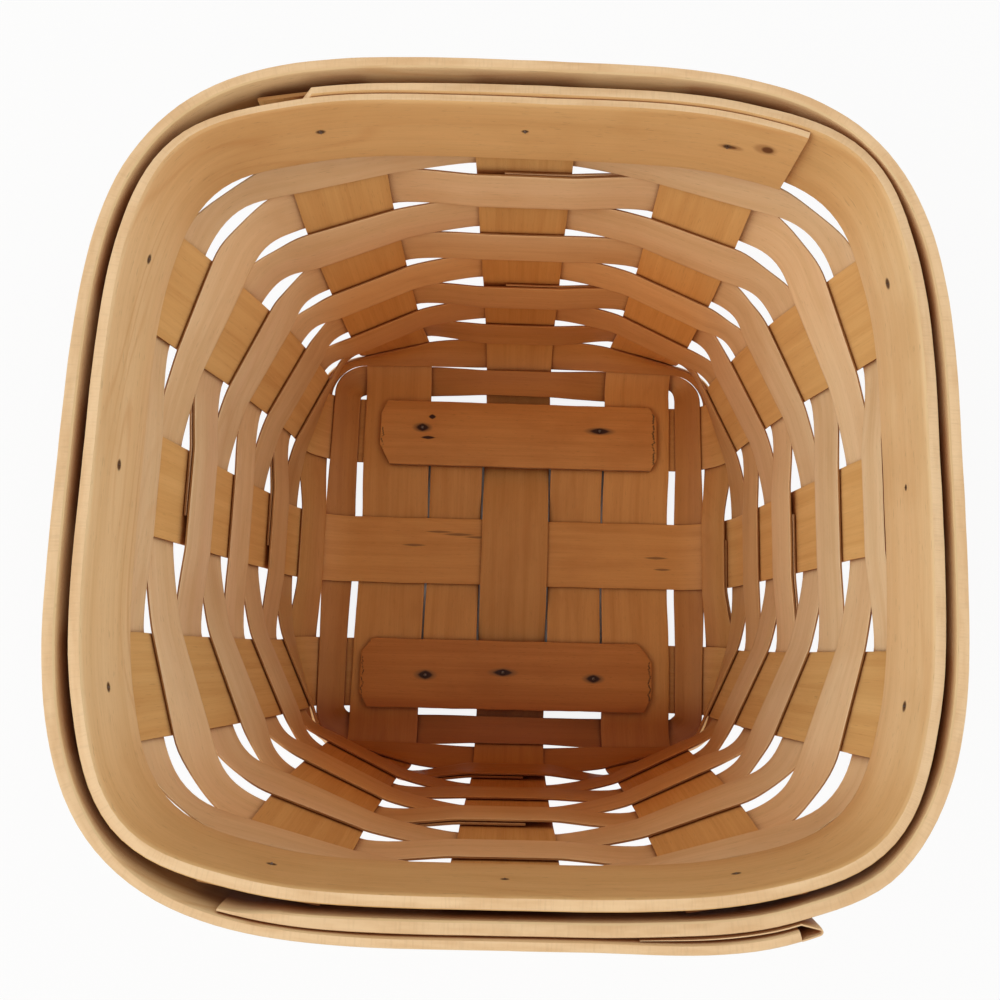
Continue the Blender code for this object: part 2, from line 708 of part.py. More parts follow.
def make_slats(wood, steel, group, cutters, splints):
    north_y = UPRIGHT_SPREAD - NORTH_SLAT_SHIFT - BASE_SHIFT
    south_y = SOUTH_SLAT_SHIFT - UPRIGHT_SPREAD - BASE_SHIFT
    boards = [
        slat("slat_north", slat_ends(NORTH_SLAT_SETBACKS), north_y, NORTH_CUT_SHARES, wood, group),
        slat("slat_south", slat_ends(SOUTH_SLAT_SETBACKS), south_y, SOUTH_CUT_SHARES, wood, group),
    ]
    top = slat_bottom() + SLAT_THICKNESS
    holes = []
    for name, (way, x_share, y_share, side, plies) in NAIL_SHARES.items():
        x = x_share * UPRIGHT_WIDTH
        if way:
            x = way * (UPRIGHT_SPREAD - UPRIGHT_WIDTH / 2 + x)
        y = (north_y if side > 0 else south_y) + y_share * SLAT_WIDTH
        length = SLAT_THICKNESS + CLEARANCE + plies * PLY - NAIL_SINK
        nail = turned_pin(name, length + CLEARANCE, NAIL_HEAD_WIDTH, HEAD_HEIGHT, steel, group)
        nail.location = (x, y, top + CLEARANCE)
        holes.append((Vector((x, y, top / 2)), Vector((0, 0, 1)), 2 * top))
    cutter = hole_cutter("slat_nail_holes", holes, cutters)
    for board in boards:
        cut(board, cutter)
    for name in ("upright_ns_west", "upright_ns_middle", "upright_ew_north", "upright_ew_south"):
        cut(splints[name], cutter)
    for name in ("base_filler_west", "base_filler_east"):
        cut(splints[name], cutter)


# Rim tacks


def middle_line(obj):
    """The points halfway up the outer face of a band."""
    points = [vertex.co for vertex in obj.data.vertices]
    return [(low + high) / 2 for low, high in zip(points[0::2], points[1::2])]


def crossings(line, origin, direction):
    """Signed distances from the origin, along a level direction, to where a band's face is crossed nearby."""
    across = Vector((-direction.y, direction.x, 0))
    found = []
    for first, second in zip(line, line[1:]):
        a, b = (first - origin).dot(across), (second - origin).dot(across)
        if a * b > 0 or a == b:
            continue
        crossing = (first.lerp(second, a / (a - b)) - origin).xy.dot(direction.xy)
        if crossing > -RIM_WIDTH / 4:
            found.append(crossing)
    return found


def make_rim_tacks(metal, group, cutters, bands, splints):
    inner_line, outer_line = middle_line(bands[0]), middle_line(bands[1])
    slant = slant_at(HEIGHT - BAND_HEIGHT / 2)
    holes = []
    for side, number in UPRIGHT_ORDER:
        middle, _, outward = station(side, number, slant)
        level = Vector((outward.x, outward.y, 0)).normalized()
        beside = Vector((-level.y, level.x, 0)) * (HEAD_WIDTH / 2)
        faces = [found for shift in (-1, 0, 1) for found in crossings(outer_line, middle + beside * shift, level)]
        head_at = max(faces) * math.cos(WALL_LEAN) + CLEARANCE
        point_at = min(crossings(inner_line, middle, level)) * math.cos(WALL_LEAN) - BAND_THICKNESS - TACK_PROUD
        where = {-1: "first", 0: "middle", 1: "last"}[number]
        length = head_at - point_at
        tack = turned_pin(f"rim_tack_{side}_{where}", length, HEAD_WIDTH, HEAD_HEIGHT, metal, group)
        turn = outward.to_track_quat("Z", "Y").to_matrix().to_4x4()
        tack.matrix_world = Matrix.Translation(middle + outward * head_at) @ turn
        holes.append((middle + outward * (head_at + point_at) / 2, outward, length + 2 * HEAD_WIDTH))
    cutter = hole_cutter("rim_tack_holes", holes, cutters)
    for obj in list(bands) + [obj for name, obj in splints.items() if name.startswith("upright")]:
        cut(obj, cutter)


# Materials


def wood_material(name, colour, roughness):
    material = bpy.data.materials.new(name)
    material.use_nodes = True
    shader = material.node_tree.nodes["Principled BSDF"]
    shader.inputs["Base Color"].default_value = (*colour, 1)
    shader.inputs["Roughness"].default_value = roughness
    shader.inputs["Metallic"].default_value = 0.0
    return material


def metal_material(name, colour, roughness):
    material = wood_material(name, colour, roughness)
    material.node_tree.nodes["Principled BSDF"].inputs["Metallic"].default_value = 1.0
    return material


def main():
    for obj in list(bpy.data.objects):
        bpy.data.objects.remove(obj)
    basket = collection_for("berry_basket")
    cutters = collection_for("cutters")
    upright_wood = wood_material("upright_wood", (0.55, 0.30, 0.12), 0.55)
    weaver_wood = wood_material("weaver_wood", (0.60, 0.36, 0.19), 0.55)
    band_wood = wood_material("band_wood", (0.68, 0.44, 0.23), 0.5)
    slat_wood = wood_material("slat_wood", (0.42, 0.19, 0.06), 0.5)
    steel = metal_material("nail_steel", (0.20, 0.18, 0.17), 0.45)
    splints = make_uprights(upright_wood, basket)
    splints.update(make_fillers(upright_wood, basket))
    make_weavers(weaver_wood, basket)
    bands = make_bands(band_wood, basket)
    make_slats(slat_wood, steel, basket, cutters, splints)
    make_rim_tacks(steel, basket, cutters, bands, splints)


main()
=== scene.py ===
"""Looks of the berry basket: detailed splints, bands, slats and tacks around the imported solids."""

import math

import bmesh
import bpy
import numpy as np
from mathutils import Matrix, Vector


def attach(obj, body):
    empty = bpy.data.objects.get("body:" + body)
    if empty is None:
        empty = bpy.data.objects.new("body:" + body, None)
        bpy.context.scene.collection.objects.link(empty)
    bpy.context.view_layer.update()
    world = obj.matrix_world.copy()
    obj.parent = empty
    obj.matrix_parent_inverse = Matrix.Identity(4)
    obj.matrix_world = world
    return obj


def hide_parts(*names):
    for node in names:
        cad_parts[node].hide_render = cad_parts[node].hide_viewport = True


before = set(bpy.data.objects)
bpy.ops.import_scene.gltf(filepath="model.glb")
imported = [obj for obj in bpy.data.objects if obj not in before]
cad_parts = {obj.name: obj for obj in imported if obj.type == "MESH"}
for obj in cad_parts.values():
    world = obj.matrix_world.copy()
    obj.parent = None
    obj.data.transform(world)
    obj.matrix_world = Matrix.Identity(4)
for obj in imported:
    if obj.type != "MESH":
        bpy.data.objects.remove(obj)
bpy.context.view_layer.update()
ROOT = "root"
RNG = np.random.default_rng(41)

# The basket's sizes, as in the solids

HEIGHT = 0.114
RIM_HALF = 0.096
BASE_REACH = 0.0608
FOOT_RADIUS = 0.0202
BASE_SHIFT = 0.0014
NORTH_LEAN, EAST_LEAN = 0.0022, 0.0002
ROWS = 10
UPRIGHT_WIDTH = 0.0252
UPRIGHT_THICKNESS = 0.0010
UPRIGHT_SPREAD = 0.0466
RIM_FAN = 0.0024
UPRIGHT_STOP = 0.0030
FILLER_WIDTH = 0.0198
FILLER_REACH = 0.0520
FILLER_SPREAD = 0.0001
WEAVER_THICKNESS = 0.0008
ROW_GAP = 0.0005
TOP_ROW_WIDTH = 0.0072
ROW_SAG = 0.0024
FOOT_MARGIN = 0.0010
CLEARANCE = 0.0003
OUTLINE_SQUARENESS, RIM_SQUARENESS, BODY_SQUARENESS, FOOT_SQUARENESS = 3.7, 3.9, 2.6, 20.0
SQUARENESS_FALL = 0.0041
BODY_HEIGHT = 0.0400
RIM_REACH_X, RIM_REACH_Y = 0.0915, 0.0897
SPAN_PULL_SHARE = 0.5
CORNER_WAIST = 0.0011
CORNER_PULL_SHARE = 1.0
BAND_HEIGHT = 0.0152
BAND_THICKNESS = 0.0024
BAND_SEAT = 0.0006
OUTER_START = math.radians(-121.5)
OUTER_END_X = 0.0585
LAP_DEPTH = 0.0021
OUTER_SKIVE_LENGTH = 0.0120
OUTER_SKIVE_SHARE = 0.35
INNER_START, INNER_END = math.radians(121.0), math.radians(51.8)
INNER_STEP_FROM, INNER_STEP_TO = math.radians(26.0), math.radians(3.0)
INNER_CLIP = 0.0036
CORNER_FILL = 0.0017
CORNER_SPREAD = math.radians(14.0)
SKIN_THICKNESS = 0.0006
TAIL_GAP, TAIL_LENGTH, TAIL_RADIUS = 0.0014, 0.0044, 0.0008
FLAP_END_X = 0.0270
SPLIT_X = 0.0120
FLAP_TIP_SHARE = 0.08
SLAT_THICKNESS = 0.0020
SLAT_WIDTH = 0.0252
NORTH_SLAT_Y, SOUTH_SLAT_Y = 0.0439, -0.0478
NORTH_SLAT_ENDS = (-0.0527, 0.0540)
SOUTH_SLAT_ENDS = (-0.0557, 0.0524)
NORTH_CUT_SHARES = ((0.16, 0.30), (0.09, 0.18), (0.12, 0.18), (0.09, 0.21))
SOUTH_CUT_SHARES = ((0.12, 0.22), (0.12, 0.23), (0.20, 0.26), (0.16, 0.20))
GROUND_CLEARANCE = 0.0001

PLY = UPRIGHT_THICKNESS + CLEARANCE
MIDDLE_Z = UPRIGHT_THICKNESS / 2 + PLY
MEAN_REACH = (RIM_REACH_X + RIM_REACH_Y) / 2
LEVEL_RUN = UPRIGHT_WIDTH / 2
_across = MEAN_REACH - BASE_REACH
_up = HEIGHT - MIDDLE_Z - FOOT_RADIUS
WALL_LEAN = math.atan2(_across, _up) - math.asin(FOOT_RADIUS / math.hypot(_across, _up))
FOOT_LENGTH = FOOT_RADIUS * (math.pi / 2 - WALL_LEAN)
SIDES = ("north", "east", "south", "west")
OPPOSITE = {"north": "south", "east": "west"}
UPRIGHT_ORDER = [(side, number) for side in SIDES for number in (-1, 0, 1)]


def smooth(share):
    share = min(max(share, 0.0), 1.0)
    return share * share * (3 - 2 * share)


def wave(seed, length, place):
    """A smooth irregular curve of place, between -1 and 1."""
    local = np.random.default_rng(seed)
    total, weight = 0.0, 0.0
    for speed, part in ((1.0, 1.0), (2.3, 0.5), (5.1, 0.25)):
        phase = local.uniform(0, 2 * math.pi, 3)
        pace = 2 * math.pi / length * speed
        total += part * math.sin(place * pace + phase[0] + 1.3 * math.sin(place * pace * 0.37 + phase[1]))
        weight += part
    return total / weight


def steps_between(start, end, size):
    count = max(1, math.ceil(abs(end - start) / size))
    return [start + (end - start) * step / count for step in range(count + 1)]


# The wall, as in the solids


def profile(slant):
    if slant <= 0:
        return BASE_REACH + slant, MIDDLE_Z
    turn = min(slant, FOOT_LENGTH) / FOOT_RADIUS
    past = max(slant - FOOT_LENGTH, 0.0)
    reach = BASE_REACH + FOOT_RADIUS * math.sin(turn) + past * math.sin(WALL_LEAN)
    height = MIDDLE_Z + FOOT_RADIUS * (1 - math.cos(turn)) + past * math.cos(WALL_LEAN)
    return reach, height


def slant_at(height):
    foot_top = MIDDLE_Z + FOOT_RADIUS * (1 - math.sin(WALL_LEAN))
    return FOOT_LENGTH + (height - foot_top) / math.cos(WALL_LEAN)


def rise(height):
    return (height - MIDDLE_Z) / (HEIGHT - MIDDLE_Z)


def middle_at(height):
    return Vector((EAST_LEAN * rise(height), NORTH_LEAN * rise(height) - BASE_SHIFT, height))


def squareness(height):
    low_share = math.exp(-(height - MIDDLE_Z) / SQUARENESS_FALL)
    high_share = min(max((height - BODY_HEIGHT) / (HEIGHT - BAND_HEIGHT - BODY_HEIGHT), 0.0), 1.0) ** 3
    low, high = FOOT_SQUARENESS - BODY_SQUARENESS, RIM_SQUARENESS - BODY_SQUARENESS
    return BODY_SQUARENESS + low * low_share + high * high_share


def row_slants(row, number):
    top = slant_at(HEIGHT - BAND_HEIGHT) - 2 * ROW_GAP
    low, high = top - TOP_ROW_WIDTH, top
    if row > 1:
        pitch = (low - FOOT_MARGIN) / (ROWS - 1)
        low = FOOT_MARGIN + (ROWS - row) * pitch
        high = low + pitch - ROW_GAP
    sag = ROW_SAG * abs(number)
    return [edge - sag * max(edge - FOOT_LENGTH, 0.0) / (top - FOOT_LENGTH) for edge in (low, high)]


def facing(side, along, out):
    turn = {"north": (along, out), "east": (out, -along), "south": (-along, -out), "west": (-out, along)}
    return Vector((*turn[side], 0))


def to_plan(side, along, out, height):
    return facing(side, along, out) + middle_at(height)


def wall_place(side, number, slant):
    reach, height = profile(slant)
    share = rise(height)
    half_x = reach + (RIM_REACH_X - MEAN_REACH) * share
    half_y = reach + (RIM_REACH_Y - MEAN_REACH) * share
    deep, wide = (half_y, half_x) if side in ("north", "south") else (half_x, half_y)
    along = number * (UPRIGHT_SPREAD + RIM_FAN * share)
    power = squareness(height)
    part = abs(along) / wide
    depth = (1 - part**power) ** (1 / power)
    fall = math.copysign((part / depth) ** (power - 1) * deep / wide, number) if number else 0.0
    return to_plan(side, along, deep * depth, height), facing(side, 1.0, -fall).normalized()


def station(side, number, slant):
    middle, tangent = wall_place(side, number, slant)
    below, _ = wall_place(side, number, slant - CLEARANCE)
    above, _ = wall_place(side, number, slant + CLEARANCE)
    return middle, tangent, (above - below).cross(tangent).normalized()


# Objects and meshes


def add_object(name, data):
    made = bpy.data.objects.new(name, data)
    bpy.context.scene.collection.objects.link(made)
    return made


def settle(piece, name):
    """Every piece rides on the basket's one body and stands for the node of its name."""
    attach(piece, ROOT)
    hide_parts(name)


def mesh_from(name, points, faces, uvs, picks, materials):
    """A mesh object from points, faces, one (u, v) for each face corner and a material for each face."""
    mesh = bpy.data.meshes.new(name)
    mesh.from_pydata([tuple(p) for p in points], [], faces)
    layer = mesh.uv_layers.new(name="UVMap")
    layer.data.foreach_set("uv", np.asarray(uvs, np.float32).ravel())
    for material in materials:
        mesh.materials.append(material)
    mesh.polygons.foreach_set("material_index", np.asarray(picks, np.int32))
    mesh.polygons.foreach_set("use_smooth", np.ones(len(faces), bool))
    mesh.update()
    mesh.set_sharp_from_angle(angle=math.radians(38))
    return add_object(name, mesh)


def sheet(name, grid, half_out, half_in, materials, u_start=0.0):
    """A closed strip from a grid of middle points (along, across, xyz).

    half_out and half_in are the distances of the two faces from it, as grids. Material 0 is on the
    faces and 1 on the edges. The grid runs so that along x across points outwards.
    """
    grid = np.asarray(grid, float)
    n, m = grid.shape[:2]
    along = np.gradient(grid, axis=0)
    across = np.gradient(grid, axis=1)
    normal = np.cross(along, across)
    normal /= np.linalg.norm(normal, axis=2, keepdims=True)
    out = grid + normal * half_out[..., None]
    back = grid - normal * half_in[..., None]
    points = np.concatenate([out.reshape(-1, 3), back.reshape(-1, 3)])
    centre = grid[:, m // 2]
    u = u_start + np.concatenate([[0], np.cumsum(np.linalg.norm(np.diff(centre, axis=0), axis=1))])
    v = np.zeros((n, m))
    v[:, 1:] = np.cumsum(np.linalg.norm(np.diff(grid, axis=1), axis=2), axis=1)
    shift = v.max() + 0.01
    base = n * m
    faces, uvs, picks = [], [], []

    def add(corners, spots, pick):
        faces.append(corners)
        uvs.extend(spots)
        picks.append(pick)

    for i in range(n - 1):
        for j in range(m - 1):
            a, b, c, d = i * m + j, (i + 1) * m + j, (i + 1) * m + j + 1, i * m + j + 1
            near, far = u[i], u[i + 1]
            spot = [(near, v[i, j]), (far, v[i + 1, j]), (far, v[i + 1, j + 1]), (near, v[i, j + 1])]
            add((a, b, c, d), spot, 0)
            back_spot = [(s, t + shift) for s, t in spot]
            add((base + a, base + d, base + c, base + b), back_spot[:1] + back_spot[:0:-1], 0)
    thick = float(np.mean(half_out + half_in))

    def add_edge(a, b, near, far, flip, strip):
        corners = (a, base + a, base + b, b)
        spot = [(near, 0), (near, thick), (far, thick), (far, 0)]
        if flip:
            corners, spot = corners[::-1], spot[::-1]
        add(corners, [(s, t + strip * shift) for s, t in spot], 1)

    for i in range(n - 1):
        for j, flip in ((0, False), (m - 1, True)):
            add_edge(i * m + j, (i + 1) * m + j, u[i], u[i + 1], flip, 2)
    for j in range(m - 1):
        for i, flip in ((0, True), (n - 1, False)):
            add_edge(i * m + j, i * m + j + 1, v[i, j], v[i, j + 1], flip, 3)
    return mesh_from(name, points, faces, uvs, picks, materials)


ACROSS = (0.0, 0.016, 0.05, 0.28, 0.5, 0.72, 0.95, 0.984, 1.0)
UNEVEN_SHARE, UNEVEN_WAVE, UNEVEN_STEPS = 0.10, 0.9, 14
EDGE_SHARE = np.array([0.62, 0.94, 1.0, 1.0, 1.0, 1.0, 1.0, 0.94, 0.62])


def strip_thickness(count, thickness, seed):
    """Half thicknesses of a strip: a little uneven, with rounded edges."""
    half = np.zeros((count, len(ACROSS)))
    for i in range(count):
        for j in range(len(ACROSS)):
            uneven = 1 - UNEVEN_SHARE * (0.5 + 0.5 * wave(seed + j, UNEVEN_WAVE, i / UNEVEN_STEPS))
            half[i, j] = thickness / 2 * uneven * EDGE_SHARE[j]
    return half


# Materials


def new_material(name):
    material = bpy.data.materials.new(name)
    material.use_nodes = True
    return material, material.node_tree, material.node_tree.nodes["Principled BSDF"]


def fill(tree, made, values):
    """Give a node's inputs, by name or number, a value or a link from another node's output."""
    for key, value in values.items():
        if hasattr(value, "is_linked"):
            tree.links.new(value, made.inputs[key])
        else:
            made.inputs[key].default_value = value
    return made


def add_node(tree, kind, values):
    return fill(tree, tree.nodes.new("ShaderNode" + kind), values)


def coordinates_of(tree, kind="Object"):
    return tree.nodes.new("ShaderNodeTexCoord").outputs[kind]


def bumped(tree, shader, height, strength, distance):
    bump = add_node(tree, "Bump", {"Strength": strength, "Distance": distance, "Height": height})
    tree.links.new(bump.outputs[0], shader.inputs["Normal"])


def mixed(tree, factor, first, second, blend="MIX"):
    colours = [(*value, 1) if isinstance(value, tuple) else value for value in (first, second)]
    made = tree.nodes.new("ShaderNodeMix")
    made.data_type = "RGBA"
    made.blend_type = blend
    return fill(tree, made, {0: factor, 6: colours[0], 7: colours[1]}).outputs[2]


def graded(tree, source, low, high, out_low=0.0, out_high=1.0):
    made = add_node(tree, "MapRange", {0: source, 1: low, 2: high, 3: out_low, 4: out_high})
    made.interpolation_type = "SMOOTHSTEP"
    return made.outputs[0]


def sums(tree, operation, first, second):
    made = add_node(tree, "Math", {0: first, 1: second})
    made.operation = operation
    return made.outputs[0]


def vector_sums(tree, operation, first, second):
    made = tree.nodes.new("ShaderNodeVectorMath")
    made.operation = operation
    return fill(tree, made, {0: first, 1: second})


def times(tree, first, second):
    return sums(tree, "MULTIPLY", first, second)


def plus(tree, first, second):
    return sums(tree, "ADD", first, second)


def size_of(tree, value):
    return sums(tree, "ABSOLUTE", value, 0.0)


def streaks(tree, coordinates, scale, place, detail=4.0, roughness=0.6, distortion=0.0):
    mapping = add_node(tree, "Mapping", {"Scale": scale, "Location": place, "Vector": coordinates})
    values = {"Scale": 1.0, "Detail": detail, "Roughness": roughness, "Distortion": distortion}
    return add_node(tree, "TexNoise", {**values, "Vector": mapping.outputs[0]}).outputs[0]


def spot_mask(tree, spots, pointed=False):
    """1 inside any of the soft-edged ellipsoids (centre, radii) and 0 outside. Pointed ones are spindles."""
    coordinates = coordinates_of(tree)
    total = None
    for centre, radii in spots:
        mapping = add_node(tree, "Mapping", {"Vector": coordinates})
        mapping.vector_type = "TEXTURE"
        fill(tree, mapping, {"Location": centre, "Scale": radii})
        place = mapping.outputs[0]
        reach = vector_sums(tree, "LENGTH", place, (0, 0, 0)).outputs["Value"]
        if pointed:
            flat = vector_sums(tree, "ABSOLUTE", place, (0, 0, 0)).outputs[0]
            cornered = vector_sums(tree, "DOT_PRODUCT", flat, (0.4, 0.4, 0.2)).outputs["Value"]
            reach = plus(tree, cornered, times(tree, reach, 0.6))
        mask = graded(tree, reach, 0.58 if pointed else 0.55, 1.0, 1.0, 0.0)
        total = mask if total is None else sums(tree, "MAXIMUM", total, mask)
    return total


INSIDE_CENTRE = (0.0, 0.0, 0.060)
# Painted shade: the wood is made darker and warmer towards the foot, on the north and south walls and inside.
INSIDE_SHADE_COLOUR = (1.0, 0.66, 0.40)
DEPTH_SHADE, NORTH_SHADE, SOUTH_SHADE, OUTSIDE_SHADE = 0.72, 0.42, 0.55, 0.35
SIDE_SHARE = 0.60
# Painted shade low on the south wall inside.
SHADE_TINT = (0.70, 0.50, 0.32)
# Painted shade in the crevices beside strips that lie over others.
CREVICE_SHADE_COLOUR = (0.45, 0.22, 0.12)
CREVICE_REACH, CREVICE_DARK, CREVICE_CLEAR = 0.0042, 0.30, 0.80


def inside_mask(tree, outside_level):
    """1 on the faces that look towards the middle of the basket, and a lower level on the outer ones."""
    outward = vector_sums(tree, "SUBTRACT", coordinates_of(tree), INSIDE_CENTRE).outputs[0]
    facing_out = vector_sums(tree, "DOT_PRODUCT", outward, coordinates_of(tree, "Normal"))
    return graded(tree, facing_out.outputs["Value"], -0.004, 0.004, 1.0, outside_level)


def position(tree, kind="Object"):
    return add_node(tree, "SeparateXYZ", {0: coordinates_of(tree, kind)}).outputs


def depth_painted_shade(tree):
    """How much painted shade the wood takes: more towards the foot, on the north and south walls, and inside.
    """
    x, y, z = position(tree)
    total = graded(tree, z, 0.040, 0.086, DEPTH_SHADE, 0.0)
    on_sides = graded(tree, size_of(tree, x), 0.050, 0.072, 0.0, SIDE_SHARE)
    on_sides = times(tree, on_sides, graded(tree, z, 0.004, 0.013))
    total = times(tree, total, sums(tree, "SUBTRACT", 1.0, on_sides))
    north = graded(tree, y, 0.020, 0.080, 0.0, NORTH_SHADE)
    north = times(tree, north, graded(tree, z, 0.078, 0.108, 1.0, 0.1))
    south = graded(tree, y, -0.084, -0.045, SOUTH_SHADE, 0.0)
    south = times(tree, south, graded(tree, z, 0.088, 0.106, 1.0, 0.0))
    total = plus(tree, total, plus(tree, north, south))
    return times(tree, total, inside_mask(tree, OUTSIDE_SHADE))


def shade_tint(tree):
    """Painted shade on the inside of the low south wall, the darkest place of all."""
    _, y, z = position(tree)
    low = graded(tree, z, 0.020, 0.080, 1.0, 0.0)
    total = times(tree, graded(tree, y, -0.066, -0.050, 1.0, 0.0), low)
    return times(tree, total, inside_mask(tree, 0.0))


def crevice_painted_shade(tree):
    """Painted shade from ambient occlusion, beside the edge of any strip that lies over this one."""
    closeness = add_node(tree, "AmbientOcclusion", {"Distance": CREVICE_REACH})
    closeness.samples = 6
    return graded(tree, closeness.outputs["AO"], CREVICE_DARK, CREVICE_CLEAR, 1.0, 0.0)


def figure_lines(tree, coordinates, place, amount):
    """Long arched growth lines, as flat-sawn wood shows them."""
    start = (place[2], place[0], 5)
    field = streaks(tree, coordinates, (7, 60, 1), start, detail=1.5, roughness=0.45, distortion=0.2)
    bent = sums(tree, "PINGPONG", times(tree, field, 13.0), 0.5)
    lines = graded(tree, bent, 0.0, 0.20, amount, 0.0)
    patch = streaks(tree, coordinates, (9, 40, 1), (place[0], place[2], 9), detail=2.0)
    return times(tree, lines, graded(tree, patch, 0.42, 0.62))


def rough_lines(tree, lines):
    """1 on broken, wandering lines across a slat: (x, middle y, half length, half width)."""
    coordinates = coordinates_of(tree)
    x, y, _ = position(tree)
    wander = streaks(tree, coordinates, (0.0, 420.0, 0.0), (0.0, 7.3, 0.0), detail=4.0, roughness=0.7)
    breaks = streaks(tree, coordinates, (300.0, 900.0, 0.0), (3.1, 1.7, 0.0), detail=2.0)
    shifted = plus(tree, x, times(tree, sums(tree, "SUBTRACT", wander, 0.5), 0.0042))
    total = None
    for line_x, middle, reach, wide in lines:
        off = size_of(tree, sums(tree, "SUBTRACT", shifted, line_x))
        along = size_of(tree, sums(tree, "SUBTRACT", y, middle))
        beside = graded(tree, off, wide * 0.6, wide * 1.5, 1.0, 0.0)
        mask = times(tree, beside, graded(tree, along, reach * 0.9, reach, 1.0, 0.0))
        total = mask if total is None else sums(tree, "MAXIMUM", total, mask)
    return times(tree, total, graded(tree, breaks, 0.36, 0.50))


EDGE_ROUGHNESS, WOOD_SPECULAR = 0.75, 0.32
BUMP_DEPTH, FACE_BUMP, EDGE_BUMP = 0.0002, 0.22, 0.5


def wood(name, pale, deep, seed, blush=(0.0, (0.6, 0.33, 0.2)), contrast=1.0, marks=(), edge=False,
         figure=0.12, ends=(1.0, 1.0, 1.0), inner=(1.0, 1.0, 1.0), end_lines=()):
    """Splint wood: fibres along the strip, broad streaks, blotches of stain, pores and chosen marks, under
    painted shade.
    """
    local = np.random.default_rng(seed)
    place = tuple(local.uniform(0, 40, 3))
    material, tree, shader = new_material(name)
    coordinates = coordinates_of(tree, "UV")
    if edge:
        ticks = streaks(tree, coordinates, (2100, 160, 1), place, detail=2.0)
        broad = streaks(tree, coordinates, (60, 300, 1), place, detail=3.0)
        colour = mixed(tree, graded(tree, broad, 0.3, 0.75), pale, deep)
        dark = graded(tree, ticks, 0.48, 0.70, 0.0, 0.10)
        colour = mixed(tree, dark, colour, tuple(c * 0.45 for c in deep))
        height, rough, strength = ticks, EDGE_ROUGHNESS, EDGE_BUMP
    else:
        broad = streaks(tree, coordinates, (9, 330, 1), place, detail=3.0, distortion=0.35)
        fibres = streaks(tree, coordinates, (55, 2300, 1), place, detail=3.0)
        blotch = streaks(tree, coordinates, (38, 75, 1), place, detail=3.0, roughness=0.55)
        pores = streaks(tree, coordinates, (330, 4300, 1), place, detail=1.0)
        flare = streaks(tree, coordinates, (5, 60, 1), (place[1], place[2], 3), detail=2.0, distortion=0.6)
        colour = mixed(tree, graded(tree, broad, 0.32, 0.76, 0.0, 0.65), pale, deep)
        if blush[0]:
            colour = mixed(tree, graded(tree, flare, 0.42, 0.68, 0.0, blush[0]), colour, blush[1])
        fine = graded(tree, fibres, 0.34, 0.76, 0.0, 0.11 * contrast)
        colour = mixed(tree, fine, colour, tuple(c * 0.62 for c in deep))
        stain = graded(tree, blotch, 0.44, 0.76, 0.0, 0.26 * contrast)
        colour = mixed(tree, stain, colour, (deep[0] * 0.80, deep[1] * 0.68, deep[2] * 0.52))
        lines = figure_lines(tree, coordinates, place, figure)
        colour = mixed(tree, lines, colour, (deep[0] * 0.82, deep[1] * 0.62, deep[2] * 0.45))
        dots = graded(tree, pores, 0.66, 0.74, 0.0, 0.26 * contrast)
        colour = mixed(tree, dots, colour, tuple(c * 0.40 for c in deep))
        height = times(tree, sums(tree, "SUBTRACT", fibres, dots), 0.8)
        rough = graded(tree, fibres, 0.25, 0.8, 0.46, 0.62)
        strength = FACE_BUMP
    # Painted shade: darker and warmer towards the foot, on the north and south walls and inside.
    colour = mixed(tree, depth_painted_shade(tree), colour, INSIDE_SHADE_COLOUR, "MULTIPLY")
    # Painted shade, deepest low on the south wall inside.
    colour = mixed(tree, shade_tint(tree), colour, SHADE_TINT, "MULTIPLY")
    # Painted shade on the north and south ends of the piece.
    if min(ends) < 1:
        far = graded(tree, size_of(tree, position(tree)[1]), 0.045, 0.082)
        colour = mixed(tree, far, colour, ends, "MULTIPLY")
    # Painted shade on the inside face below the top, in the gap between the bands.
    if min(inner) < 1:
        hidden = graded(tree, position(tree)[2], HEIGHT - 0.0050, HEIGHT - 0.0014, 1.0, 0.0)
        colour = mixed(tree, times(tree, hidden, inside_mask(tree, 0.0)), colour, inner, "MULTIPLY")
    # Painted shade in the crevices beside overlying strips.
    colour = mixed(tree, crevice_painted_shade(tree), colour, CREVICE_SHADE_COLOUR, "MULTIPLY")
    for colour_of, spots, pointed in marks:
        colour = mixed(tree, spot_mask(tree, spots, pointed), colour, colour_of)
    # Dark broken lines just inside the slat's ends.
    if end_lines:
        colour = mixed(tree, rough_lines(tree, end_lines), colour, tuple(c * 0.22 for c in deep))
    fill(tree, shader, {"Base Color": colour, "Roughness": rough, "Specular IOR Level": WOOD_SPECULAR})
    bumped(tree, shader, height, strength, BUMP_DEPTH)
    return material


STEEL_COLOUR, RUST_COLOUR = (0.20, 0.165, 0.145), (0.10, 0.045, 0.02)


def steel(name, colour, seed):
    material, tree, shader = new_material(name)
    coordinates = coordinates_of(tree)
    grime = streaks(tree, coordinates, (1600, 1600, 1600), (seed, 3, 7), detail=4.0)
    rusty = mixed(tree, graded(tree, grime, 0.42, 0.64), colour, RUST_COLOUR)
    rough = graded(tree, grime, 0.4, 0.7, 0.32, 0.75)
    fill(tree, shader, {"Base Color": rusty, "Roughness": rough, "Metallic": 0.85})
    bumped(tree, shader, grime, 0.3, 0.0001)
    return material


def toned(colour, shade, warm=0.0):
    """A colour made lighter or darker by shade, and warmer by warm."""
    red, green, blue = colour
    made = (red * shade, green * shade * (1 - 0.5 * warm), blue * shade * (1 - warm))
    return tuple(min(value, 0.95) for value in made)


